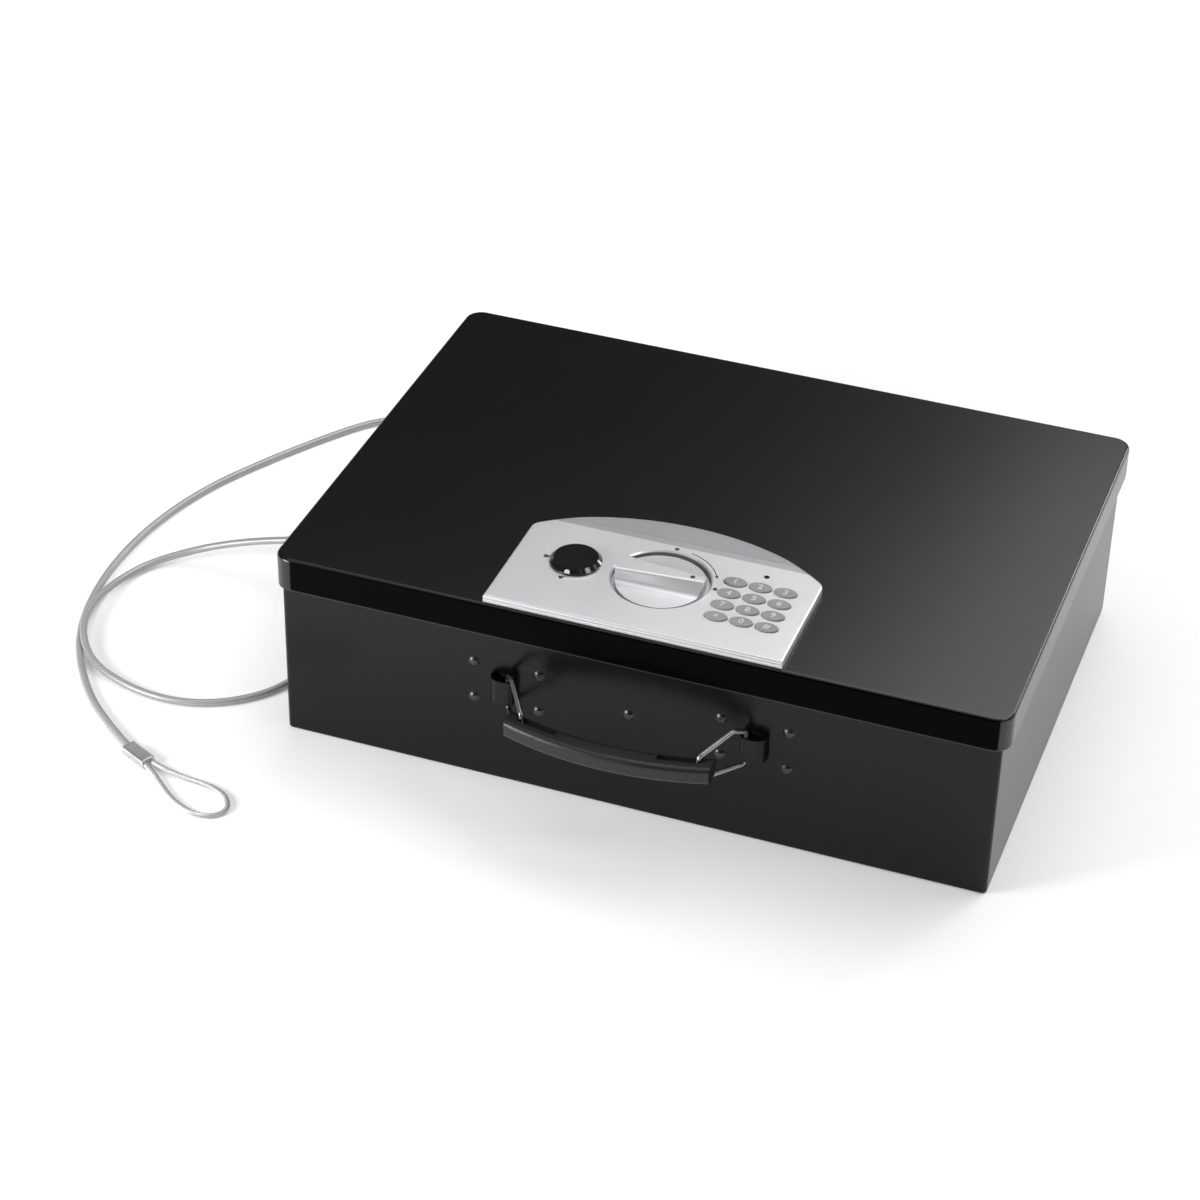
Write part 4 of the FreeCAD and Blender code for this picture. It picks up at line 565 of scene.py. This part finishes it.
def slab(bm, corners, low, high):
    """A flat print on corners that are given in order."""
    verts = [bm.verts.new((x, y, low)) for x, y in corners]
    face = bm.faces.new(verts)
    raised = bmesh.ops.extrude_face_region(bm, geom=[face])
    top = [item for item in raised["geom"] if isinstance(item, bmesh.types.BMVert)]
    bmesh.ops.translate(bm, verts=top, vec=(0.0, 0.0, high - low))


# Studio

FILM_WIDTH = 36.0
# The floor glows for the camera and for reflections: from dim near the box to full, in metres from its middle
GLOW_START, GLOW_END = 0.7, 1.7
GLOW_NEAR, GLOW_FAR = 0.2, 1.0
# Each lamp's place, and its width and height, in metres
LAMPS = {
    "top": ((0.0, 0.3, 2.3), (2.6, 3.2)),
    "back": ((0.73, 1.33, 2.2), (3.0, 2.0)),
    "left": ((-0.8, -0.8, 0.42), (0.4, 0.4)),
    "rim": ((1.25, 1.95, 0.95), (0.4, 0.9)),
    "right": ((1.2, -0.25, 1.3), (0.45, 0.45)),
}
# Two heights in the studio's walls, from 0 at the horizon to 1 overhead, and the grey at each
WALL_GREYS = ((0.02, 0.8), (0.22, 0.05))


class LOCKBOX_OT_stage(bpy.types.Operator):
    """Set up the camera, the floor, the lamps and the world"""
    bl_idname = "lockbox.stage"
    bl_label = "Studio"

    def execute(self, context):
        self.camera(context.scene)
        self.floor()
        self.lamps()
        self.world(context.scene)
        context.scene.view_settings.view_transform = "Standard"
        return {"FINISHED"}

    def camera(self, scene):
        look = studio()
        data = bpy.data.cameras.new("camera")
        data.lens = look.lens
        data.sensor_width = FILM_WIDTH
        data.sensor_fit = "HORIZONTAL"
        camera = bpy.data.objects.new("camera", data)
        scene.collection.objects.link(camera)
        stand = self.facing(look.azimuth, look.elevation)
        back = self.facing(look.azimuth + look.pan, look.elevation + look.tilt)
        right = Vector((0.0, 0.0, 1.0)).cross(back).normalized()
        level = Matrix((right, back.cross(right), back)).transposed()
        place = Vector((0.0, 0.0, look.middle)) + stand * look.distance
        rolled = level.to_4x4() @ Matrix.Rotation(look.roll, 4, "Z")
        camera.matrix_world = Matrix.Translation(place) @ rolled
        scene.camera = camera

    @staticmethod
    def facing(azimuth, elevation):
        """The direction from the box to a camera."""
        flat = math.cos(elevation)
        return Vector((math.sin(azimuth) * flat, -math.cos(azimuth) * flat, math.sin(elevation)))

    def floor(self):
        look = studio()
        bm = bmesh.new()
        bmesh.ops.create_grid(bm, x_segments=1, y_segments=1, size=look.floor)
        mesh = to_mesh(bm, "floor")
        if mesh.polygons[0].normal.z < 0:
            mesh.flip_normals()
        floor = bpy.data.objects.new("floor", mesh)
        bpy.context.scene.collection.objects.link(floor)
        material = bpy.data.materials.new("studio_floor")
        material.use_nodes = True
        tree = material.node_tree
        shader = tree.nodes["Principled BSDF"]
        shader.inputs["Base Color"].default_value = (*look.floor_colour, 1.0)
        shader.inputs["Roughness"].default_value = 0.9
        shader.inputs["Specular IOR Level"].default_value = 0.0
        path = add(tree, "LightPath").outputs
        seen = math_node(tree, "MAXIMUM", path["Is Camera Ray"], path["Is Glossy Ray"])
        seen = math_node(tree, "MAXIMUM", seen, path["Is Transmission Ray"])
        shader.inputs["Emission Color"].default_value = WHITE
        away = add(tree, "VectorMath", {0: add(tree, "TexCoord").outputs["Object"]}, operation="LENGTH")
        limits = {"From Min": GLOW_START, "From Max": GLOW_END, "To Min": GLOW_NEAR, "To Max": GLOW_FAR}
        glow = add(tree, "MapRange", {"Value": away.outputs["Value"], **limits}).outputs["Result"]
        tree.links.new(math_node(tree, "MULTIPLY", seen, glow), shader.inputs["Emission Strength"])
        mesh.materials.append(material)

    def lamps(self):
        for name, (place, size) in LAMPS.items():
            self.softbox(f"{name}_lamp", getattr(studio(), f"{name}_power"), place, size)

    @staticmethod
    def softbox(name, power, place, size):
        """A soft lamp that faces the box."""
        data = bpy.data.lights.new(name, "AREA")
        data.shape = "RECTANGLE"
        data.size, data.size_y = size
        data.energy = power
        lamp = bpy.data.objects.new(name, data)
        lamp.location = place
        lamp.visible_camera = False
        lamp.rotation_euler = Vector(place).to_track_quat("Z", "Y").to_euler()
        bpy.context.scene.collection.objects.link(lamp)

    @staticmethod
    def world(scene):
        """A studio that is pale near the floor and dim above."""
        world = bpy.data.worlds.new("studio")
        world.use_nodes = True
        tree = world.node_tree
        place = add(tree, "TexCoord").outputs["Generated"]
        ramp = add(tree, "ValToRGB", {"Fac": add(tree, "SeparateXYZ", {"Vector": place}).outputs["Z"]})
        for step, (height, grey) in zip(ramp.color_ramp.elements, WALL_GREYS):
            step.position = height
            step.color = (grey, grey, grey, 1.0)
        background = tree.nodes["Background"]
        tree.links.new(ramp.outputs["Color"], background.inputs["Color"])
        scene.world = world


# Security cable

# The cable's route in millimetres, from the swaged stop to the sleeve. The first turn rests on the second.
CABLE_ROUTE = [
    (-207, -5, 36), (-248, -5, 36), (-287, -7.5, 29.5), (-323, -8, 18.5), (-351, -13, 8.8),
    (-374.5, -30, 3.6), (-383.5, -54.5, 4), (-385.5, -83, 7), (-380.5, -113, 7.6), (-359, -142.5, 4.2),
    (-323, -157, 2.5), (-289, -159, 2.5), (-260, -147, 2.5), (-238, -124, 2.5), (-228.5, -90, 2.5),
    (-225.4, -48, 2.5), (-224.6, 2, 2.5), (-225, 50, 2.5), (-226.8, 98, 2.5), (-231, 143, 2.5),
    (-240, 176, 2.5), (-256, 200, 2.5), (-284, 203.5, 2.5), (-309, 187, 2.5), (-331, 156, 2.5),
    (-356.5, 113, 2.5), (-379.5, 67.5, 2.5), (-393.2, 16.5, 2.5), (-396.7, -34, 2.5), (-391, -83, 2.5),
    (-377.5, -123.5, 2.5), (-354.5, -159.5, 2.5), (-327, -189, 2.5), (-293.5, -213.5, 3.5),
]
# The eye's bare wire, from the sleeve round and back into it.
EYE_ROUTE = [
    (-284.1, -215.8, 3.2), (-269.5, -221.4, 2.6), (-253, -224, 1.7), (-236.5, -225, 1.7),
    (-222.6, -230.6, 1.7), (-216.6, -242, 1.7), (-222.4, -251.5, 1.7), (-235, -252.8, 1.7),
    (-250, -246, 1.7), (-262, -236.2, 1.7), (-273.5, -226, 2.6), (-285.6, -218.9, 3.2),
]
SLEEVE_START = (-297.5, -211.05, 3.2)
SLEEVE_END = (-279.5, -220.0, 3.2)
SLEEVE_WIDTH = 9.6 * MM
SLEEVE_CORNER = 1.5 * MM
SLEEVE_MOUTH = 0.45 * MM
# The pressed waist: places from the sleeve's middle, and the share of its height that is left there
WAIST = ((-7.4 * MM, 1.0), (-5.2 * MM, 0.975), (5.2 * MM, 0.975), (7.4 * MM, 1.0))
WAIST_WIDTH = 0.98
# Strands of the cable and the eye, and wires that show in each strand
STRANDS = 6
WIRES = 5


def nurbs_curve(name, route):
    """A smooth curve with a route's points as its control points."""
    data = bpy.data.curves.new(name, "CURVE")
    data.dimensions = "3D"
    spline = data.splines.new("NURBS")
    spline.points.add(len(route) - 1)
    for spot, corner in zip(spline.points, route):
        spot.co = (*(Vector(corner) * MM), 1.0)
    spline.order_u = 3
    spline.use_endpoint_u = True
    spline.resolution_u = 12
    return data


def line_points(name, route):
    """Points along a route's smooth curve."""
    return [vertex.co.copy() for vertex in evaluated_mesh(nurbs_curve(name, route)).vertices]


def run_lengths(points):
    """Length of the line up to each point."""
    lengths = [0.0]
    for last, here in zip(points, points[1:]):
        lengths.append(lengths[-1] + (here - last).length)
    return lengths


class LOCKBOX_OT_cable(bpy.types.Operator):
    """Make the coated cable, its pressed sleeve and the eye of bare strands"""
    bl_idname = "lockbox.cable"
    bl_label = "Security cable"

    def execute(self, context):
        sleeve = self.sleeve()
        self.cable(sleeve)
        self.eye(sleeve)
        rubber = moulded("grommet_rubber", colours().rubber, 0.6)
        paint(rubber, "cable_grommet")
        paint(plated("stop_alloy", colours().crimp, 0.36), "cable_stop")
        return {"FINISHED"}

    def cable(self, sleeve):
        """A tube along the route, with UVs in metres along it, so that the lay shows through the coat."""
        points = line_points("cable_line", CABLE_ROUTE)
        runs = run_lengths(points)
        data = nurbs_curve("cable_tube", CABLE_ROUTE)
        data.bevel_depth = sizes().cable / 2
        data.bevel_resolution = 6
        data.use_fill_caps = True
        mesh = evaluated_mesh(data)
        last = len(runs) - 1
        for corner in mesh.uv_layers[0].data:
            index = min(max(round(corner.uv.x * last), 0), last)
            corner.uv.x = runs[index]
            corner.uv.y = corner.uv.y * sizes().lay
        mesh.shade_smooth()
        vinyl = Finish("cable_vinyl", colours().cable, 0.42, metallic=0.3, coat=0.15, coat_roughness=0.2,
                       ior=1.46, uv=True)
        around = add(vinyl.tree, "SeparateXYZ", {"Vector": vinyl.place}).outputs
        climb = math_node(vinyl.tree, "ADD", around["X"], around["Y"])
        helix = add(vinyl.tree, "CombineXYZ", {"X": climb}).outputs["Vector"]
        lay = effect(vinyl.tree, "bands", Vector=helix, Pitch=sizes().lay / STRANDS, Waver=0.0)["Mask"]
        pitch = sizes().lay / STRANDS / WIRES
        wires = effect(vinyl.tree, "bands", Vector=helix, Pitch=pitch, Waver=0.0)["Mask"]
        vinyl.drift(30.0, 0.1)
        shade = shaded(vinyl.tree, vinyl.tint, scaled(vinyl.tree, lay, 0.9, 1.04))
        shade = shaded(vinyl.tree, shade, scaled(vinyl.tree, wires, 0.97, 1.02))
        vinyl.link(shade, "Base Color")
        vinyl.bump(lay, 0.015 * MM)
        piece = new_piece("security_cable", mesh, "box", vinyl.material)
        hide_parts("cable")

    def eye(self, sleeve):
        """Six strands laid round a seventh."""
        points = line_points("eye_line", EYE_ROUTE)
        runs = run_lengths(points)
        strand = sizes().eye / 6
        data = bpy.data.curves.new("eye_strands", "CURVE")
        data.dimensions = "3D"
        data.bevel_depth = strand
        data.bevel_resolution = 2
        data.use_fill_caps = True
        for index in range(STRANDS + 1):
            reach = 2 * strand if index < STRANDS else 0.0
            self.add_strand(data, points, runs, reach, 2 * math.pi * index / STRANDS)
        mesh = evaluated_mesh(data)
        mesh.shade_smooth()
        wire = Finish("eye_wire", colours().strand, 0.42, metallic=0.7).drift(500.0, 0.2)
        wire.handled(300.0, 0.2).grain(2400.0, 0.02 * MM)
        piece = new_piece("eye_strands", mesh, "box", wire.material)
        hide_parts("cable_eye")

    @staticmethod
    def add_strand(data, points, runs, reach, phase):
        """One strand that winds round the line."""
        spline = data.splines.new("POLY")
        spline.points.add(len(points) - 1)
        side = Vector((0.0, 0.0, 1.0))
        for index, here in enumerate(points):
            ahead = points[min(index + 1, len(points) - 1)] - points[max(index - 1, 0)]
            ahead.normalize()
            side = (side - ahead * side.dot(ahead)).normalized()
            angle = phase + 2 * math.pi * runs[index] / sizes().lay
            offset = (side * math.cos(angle) + ahead.cross(side) * math.sin(angle)) * reach
            spline.points[index].co = (*(here + offset), 1.0)

    def sleeve(self):
        """A bar with rounded corners, a shallow pressed waist and a rounded mouth at each end."""
        start, end = Vector(SLEEVE_START) * MM, Vector(SLEEVE_END) * MM
        ahead = (end - start).normalized()
        low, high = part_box("crimp_sleeve")
        bm = bmesh.new()
        bmesh.ops.create_cube(bm, size=1.0)
        bmesh.ops.scale(bm, verts=bm.verts, vec=(sizes().sleeve, SLEEVE_WIDTH, high.z - low.z))
        long_edges = [edge for edge in bm.edges if abs(edge.verts[0].co.x - edge.verts[1].co.x) > NEAR]
        bevel(bm, long_edges, SLEEVE_CORNER, 2)
        for place, _ in WAIST:
            bisect(bm, (place, 0.0, 0.0), (1.0, 0.0, 0.0))
        for place, height in WAIST:
            ring = [vert for vert in bm.verts if abs(vert.co.x - place) < NEAR]
            bmesh.ops.scale(bm, verts=ring, vec=(1.0, WAIST_WIDTH, height))
        ends = [edge for edge in bm.edges
                if all(abs(abs(vert.co.x) - sizes().sleeve / 2) < NEAR for vert in edge.verts)]
        bevel(bm, ends, SLEEVE_MOUTH, 2)
        across = Vector((-ahead.y, ahead.x, 0.0))
        turned = Matrix((ahead, across, ahead.cross(across))).transposed().to_4x4()
        middle = (start + end) / 2
        bmesh.ops.transform(bm, verts=bm.verts, matrix=Matrix.Translation(middle) @ turned)
        mesh = to_mesh(bm, "pressed_sleeve")
        alloy = plated("crimp_alloy", colours().crimp, 0.42)
        piece = new_piece("pressed_sleeve", mesh, "box", alloy)
        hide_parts("crimp_sleeve")
        return piece


# Box and lid

class LOCKBOX_OT_steel(bpy.types.Operator):
    """Coat the sheet steel of the box, the lid, the hinge and the handle plate"""
    bl_idname = "lockbox.steel"
    bl_label = "Steel box and lid"

    def execute(self, context):
        coat = box_coat("black_coat", colours().coat, colours().inside).material
        paint(coat, "box_shell", "hinge_box_leaf", "hinge_lid_leaf", "handle_plate")
        paint(lid_coat("lid_coat", colours().coat, colours().inside).material, "lid_shell")
        paint(plated("hinge_pin_zinc", colours().zinc, 0.36, (math.pi / 2, 0.0, math.pi / 2)), "hinge_pin")
        return {"FINISHED"}


# Lock panel

# Angles about the knob's axis, in degrees: the two dots, and the arrow's start and end
DOT_ANGLES = (92.0, 2.5)
ARROW_START, ARROW_END = 75.0, 26.0
# The arrow: half the width of its line, and its head's half width, overlap and length
ARROW_LINE = 0.28 * MM
HEAD_WIDTH = 1.1 * MM
HEAD_OVERLAP = 0.2 * MM
HEAD_LENGTH = 2.6 * MM
# Corners of the key cover's two stop marks, in millimetres from its axis
COVER_STOPS = (
    ((-4.7, -17.2), (-0.5, -17.2), (-2.6, -20.6)),
    ((-19.6, -2.5), (-16.2, -1.8), (-16.2, 0.1), (-19.6, 0.8)),
)
# Height of a numeral, as a share of its font's size
NUMERAL_SHARE = 0.7
# The knob's dot: distance from the axis, depth and rounding
POINTER_REACH = 19.2 * MM
POINTER_DEPTH = 0.3 * MM
POINTER_ROUND = 0.2 * MM
# The bead: below the cover's top, in from its edge, height, radius and rounding
BEAD_DROP = 2.2 * MM
BEAD_INSET = 0.3 * MM
BEAD_HEIGHT = 1.6 * MM
BEAD_RADIUS = 1.6 * MM
BEAD_ROUND = 0.4 * MM


class LOCKBOX_OT_panel(bpy.types.Operator):
    """Paint the lock panel, print its marks and fit the lamp's lens"""
    bl_idname = "lockbox.panel"
    bl_label = "Lock panel"

    def execute(self, context):
        paint(panel_paint_with_light_and_shade("silver_paint", colours().panel, colours().brow).material, "lock_panel")
        lens = Finish("lamp_lens", colours().lamp, 0.12, coat=0.6, coat_roughness=0.05).drift(900.0, 0.3)
        paint(lens.material, "status_lamp")
        self.marks()
        return {"FINISHED"}

    def marks(self):
        """Two dots and a turning arrow round the knob, and the key cover's two stops."""
        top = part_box("lock_panel")[1].z
        high = top + sizes().film
        low = top - sizes().film
        bm = bmesh.new()
        for angle in DOT_ANGLES:
            disc(bm, middle_of("knob") + outward(angle) * sizes().ring, low, high, sizes().dot)
        self.arrow(bm, middle_of("knob"), sizes().ring, low, high)
        cover = middle_of("key_cover")
        for corners in COVER_STOPS:
            slab(bm, [(cover.x + x * MM, cover.y + y * MM) for x, y in corners], low, high)
        ink = printed("print_ink", colours().ink, 0.45)
        new_piece("panel_marks", to_mesh(bm, "panel_marks"), "lid", ink)

    @staticmethod
    def arrow(bm, axis, ring, low, high):
        """A thin arc about the knob's axis, with a head at its end."""
        out = outward(ARROW_START)
        inner, outer = out * (ring - ARROW_LINE), out * (ring + ARROW_LINE)
        verts = [bm.verts.new(axis + corner + Vector((0, 0, z))) for corner, z in
                 ((inner, low), (outer, low), (outer, high), (inner, high))]
        face = bm.faces.new(verts)
        bmesh.ops.spin(bm, geom=[face, *face.edges, *face.verts], cent=axis, axis=(0.0, 0.0, 1.0),
                       angle=math.radians(ARROW_END - ARROW_START), steps=ROUND_STEPS, use_merge=False)
        out = outward(ARROW_END)
        on = Vector((out.y, -out.x, 0.0))
        tip = axis + out * ring
        root = tip - on * HEAD_OVERLAP
        head = (root + out * HEAD_WIDTH, root - out * HEAD_WIDTH, tip + on * HEAD_LENGTH)
        slab(bm, [(spot.x, spot.y) for spot in head], low, high)


class LOCKBOX_OT_keys(bpy.types.Operator):
    """Finish the keys and print their numerals"""
    bl_idname = "lockbox.keys"
    bl_label = "Keys"

    LABELS = {"clear": "*", "enter": "#"}

    def execute(self, context):
        rubber = moulded("key_grey", colours().keys, 0.5, 2200.0, 0.012 * MM)
        ink = printed("numeral_ink", colours().numeral, 0.5, 900.0)
        for name in (*"123456789", "clear", "0", "enter"):
            paint(rubber, f"key_{name}")
            self.numeral(name, ink)
        return {"FINISHED"}

    def numeral(self, name, ink):
        """A thin print in the middle of a key's top."""
        text = bpy.data.curves.new("numeral", "FONT")
        text.body = self.LABELS.get(name, name)
        text.size = sizes().numeral / NUMERAL_SHARE
        text.offset = sizes().stroke
        text.extrude = sizes().film
        text.resolution_u = 4
        mesh = evaluated_mesh(text)
        xs = [vertex.co.x for vertex in mesh.vertices]
        ys = [vertex.co.y for vertex in mesh.vertices]
        middle = Vector(((min(xs) + max(xs)) / 2, (min(ys) + max(ys)) / 2, 0.0))
        place = middle_of(f"key_{name}")
        place.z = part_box(f"key_{name}")[1].z
        mesh.transform(Matrix.Translation(place - middle))
        new_piece(f"numeral_{name}", mesh, f"button_{name}", ink)


class LOCKBOX_OT_knob(bpy.types.Operator):
    """Paint the knob and set its dot"""
    bl_idname = "lockbox.knob"
    bl_label = "Knob"

    def execute(self, context):
        paint(silver_paint("knob_paint", colours().panel, 0.32).material, "knob")
        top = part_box("knob")[1].z
        spot = middle_of("knob") + Vector((POINTER_REACH, 0.0, 0.0))
        bm = bmesh.new()
        disc(bm, spot, top - POINTER_DEPTH, top + sizes().film, sizes().pointer)
        rim = [edge for edge in bm.edges if all(vert.co.z > top for vert in edge.verts)]
        bevel(bm, rim, POINTER_ROUND, 3)
        ink = printed("pointer_ink", colours().ink, 0.4)
        new_piece("pointer_dot", to_mesh(bm, "pointer_dot"), "knob", ink)
        return {"FINISHED"}


class LOCKBOX_OT_cover(bpy.types.Operator):
    """Polish the key cover, and finish the lock cylinder under it"""
    bl_idname = "lockbox.cover"
    bl_label = "Key cover"

    def execute(self, context):
        gloss = Finish("gloss_black", colours().cover, 0.16, coat=0.5, coat_roughness=0.06).drift(40.0, 0.2)
        gloss.handled(60.0, 0.1).grain(400.0, 0.004 * MM)
        paint(gloss.material, "key_cover")
        paint(plated("brass", colours().brass, 0.35), "key_cylinder", "key_plug", "cylinder_nut")
        self.index()
        return {"FINISHED"}

    def index(self):
        """A white bead in the notch of the cover's edge, flush with its side."""
        low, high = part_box("key_cover")
        foot = high.z - BEAD_DROP
        spot = middle_of("key_cover")
        spot.y = low.y + BEAD_INSET
        bm = bmesh.new()
        disc(bm, spot, foot, foot + BEAD_HEIGHT, BEAD_RADIUS)
        rim = [edge for edge in bm.edges
               if all(vert.co.z > foot + BEAD_HEIGHT / 2 for vert in edge.verts)]
        bevel(bm, rim, BEAD_ROUND, 3)
        cut = bisect(bm, (0.0, low.y, 0.0), (0.0, -1.0, 0.0), clear_outer=True)
        rims = [item for item in cut["geom_cut"] if isinstance(item, bmesh.types.BMEdge)]
        bmesh.ops.holes_fill(bm, edges=rims)
        white = Finish("index_white", colours().index, 0.4).drift(600.0, 0.1).grain(2500.0, 0.004 * MM)
        new_piece("cover_index", to_mesh(bm, "cover_index"), "cover", white.material)


# Handle

class LOCKBOX_OT_handle(bpy.types.Operator):
    """Finish the grip, its two wire rings and the rivets"""
    bl_idname = "lockbox.handle"
    bl_label = "Carrying handle"

    def execute(self, context):
        grip = moulded("black_plastic", colours().grip, 0.42, 1300.0, 0.02 * MM)
        paint(grip, "handle_grip")
        paint(self.plating("ring_plating", colours().wire), "handle_ring_right")
        # Painted shade: the left ring gets a darker plating than the right one
        paint(self.plating("ring_plating_dull", colours().shaded_wire), "handle_ring_left")
        rivet = Finish("rivet_black", colours().rivet, 0.34, metallic=1.0).drift(200.0, 0.2)
        rivet.handled(150.0, 0.1).grain(1500.0, 0.006 * MM)
        paint(rivet.material, "handle_rivets")
        return {"FINISHED"}

    @staticmethod
    def plating(name, tint):
        """Bright wire that has been handled."""
        metal = Finish(name, tint, 0.33, metallic=1.0).drift(120.0, 0.2).handled(90.0, 0.1)
        return metal.grain(1200.0, 0.006 * MM).material


# Lock work under the lid

class LOCKBOX_OT_lock_work(bpy.types.Operator):
    """Finish the lock case, the bolts, the solenoid, the boards and the cells"""
    bl_idname = "lockbox.lock_work"
    bl_label = "Lock work"

    def execute(self, context):
        tints = colours()
        grey = moulded("case_grey", tints.case, 0.5, 1100.0, 0.03 * MM)
        paint(grey, "lock_case", "battery_door", "battery_tray")
        zinc = plated("zinc_steel", tints.zinc, 0.36)
        paint(zinc, "knob_shaft", "lock_cam", "cam_screw", "bolt_plate", "follower_pin", "bolt_guides",
              "solenoid_frame", "solenoid_plunger", "case_pillars", "case_screws", "panel_screws",
              "plug_lever", "battery_contacts")
        paint(moulded("bush_plastic", tints.grip, 0.45), "knob_bush")
        self.board()
        self.ribbon()
        self.coil()
        self.cells()
        paint(moulded("mat_rubber", tints.rubber, 0.7, 900.0, 0.05 * MM), "keypad_mat")
        return {"FINISHED"}

    def board(self):
        """Solder mask with tracks that show through it."""
        mask = Finish("board_green", colours().board, 0.34, coat=0.3, coat_roughness=0.15).drift(60.0, 0.1)
        lines = {"Scale": 160.0, "Mortar Size": 0.05, "Color1": BLACK, "Color2": BLACK, "Mortar": WHITE}
        tracks = add(mask.tree, "TexBrick", {"Vector": mask.place, **lines})
        line = add(mask.tree, "SeparateColor", {"Color": tracks.outputs["Color"]}).outputs["Red"]
        mask.two_tone(line, colours().track)
        paint(mask.bump(line, 0.03 * MM).material, "keypad_board", "circuit_board")

    def ribbon(self):
        """Flat cable with its conductors as fine ridges."""
        band = Finish("ribbon_grey", colours().ribbon, 0.5).drift(120.0, 0.08)
        wires = effect(band.tree, "bands", Vector=band.place, Pitch=1.27 * MM, Waver=0.0)["Mask"]
        paint(band.bump(wires, 0.15 * MM).material, "keypad_ribbon")

    def coil(self):
        """Enamelled wire wound side by side."""
        wire = Finish("coil_copper", colours().copper, 0.3, metallic=0.9, coat=0.5).drift(300.0, 0.2)
        turns = effect(wire.tree, "bands", Vector=wire.turned((0.0, 0.0, math.pi / 2)), Pitch=0.5 * MM,
                       Waver=0.1)["Mask"]
        paint(wire.bump(turns, 0.12 * MM).material, "solenoid_coil")

    def cells(self):
        """Plastic wrapping of the cells."""
        wrap = Finish("cell_wrap", colours().wrap, 0.36, coat=0.4, coat_roughness=0.1).drift(90.0, 0.12)
        wrap.handled(80.0, 0.12).grain(500.0, 0.01 * MM)
        paint(wrap.material, "battery_cells")


# Panel and registration

OPERATORS = (LOCKBOX_OT_stage, LOCKBOX_OT_cable, LOCKBOX_OT_steel, LOCKBOX_OT_panel, LOCKBOX_OT_keys,
             LOCKBOX_OT_knob, LOCKBOX_OT_cover, LOCKBOX_OT_handle, LOCKBOX_OT_lock_work)
SETTINGS = {
    "lock_box_colours": LockBoxColours,
    "lock_box_sizes": LockBoxSizes,
    "lock_box_studio": LockBoxStudio,
}


class LOCKBOX_PT_main(bpy.types.Panel):
    """The pieces of the lock box and what they are made from"""
    bl_idname = "LOCKBOX_PT_main"
    bl_label = "Lock box"
    bl_space_type = "VIEW_3D"
    bl_region_type = "UI"
    bl_category = "Lock box"

    def draw(self, context):
        for operator in OPERATORS:
            self.layout.operator(operator.bl_idname)
        for name, settings in SETTINGS.items():
            column = self.layout.column(heading=settings.__doc__)
            for label in settings.__annotations__:
                column.prop(getattr(context.scene, name), label)


def register():
    for settings in SETTINGS.values():
        bpy.utils.register_class(settings)
    for name, settings in SETTINGS.items():
        setattr(bpy.types.Scene, name, PointerProperty(type=settings))
    for operator in OPERATORS:
        bpy.utils.register_class(operator)
    bpy.utils.register_class(LOCKBOX_PT_main)


def unregister():
    bpy.utils.unregister_class(LOCKBOX_PT_main)
    for operator in reversed(OPERATORS):
        bpy.utils.unregister_class(operator)
    for name in SETTINGS:
        delattr(bpy.types.Scene, name)
    for settings in reversed(SETTINGS.values()):
        bpy.utils.unregister_class(settings)


def main():
    register()
    bpy.ops.lockbox.stage()
    bpy.ops.lockbox.cable()
    bpy.ops.lockbox.steel()
    bpy.ops.lockbox.panel()
    bpy.ops.lockbox.keys()
    bpy.ops.lockbox.knob()
    bpy.ops.lockbox.cover()
    bpy.ops.lockbox.handle()
    bpy.ops.lockbox.lock_work()


if __name__ == "__main__":
    main()
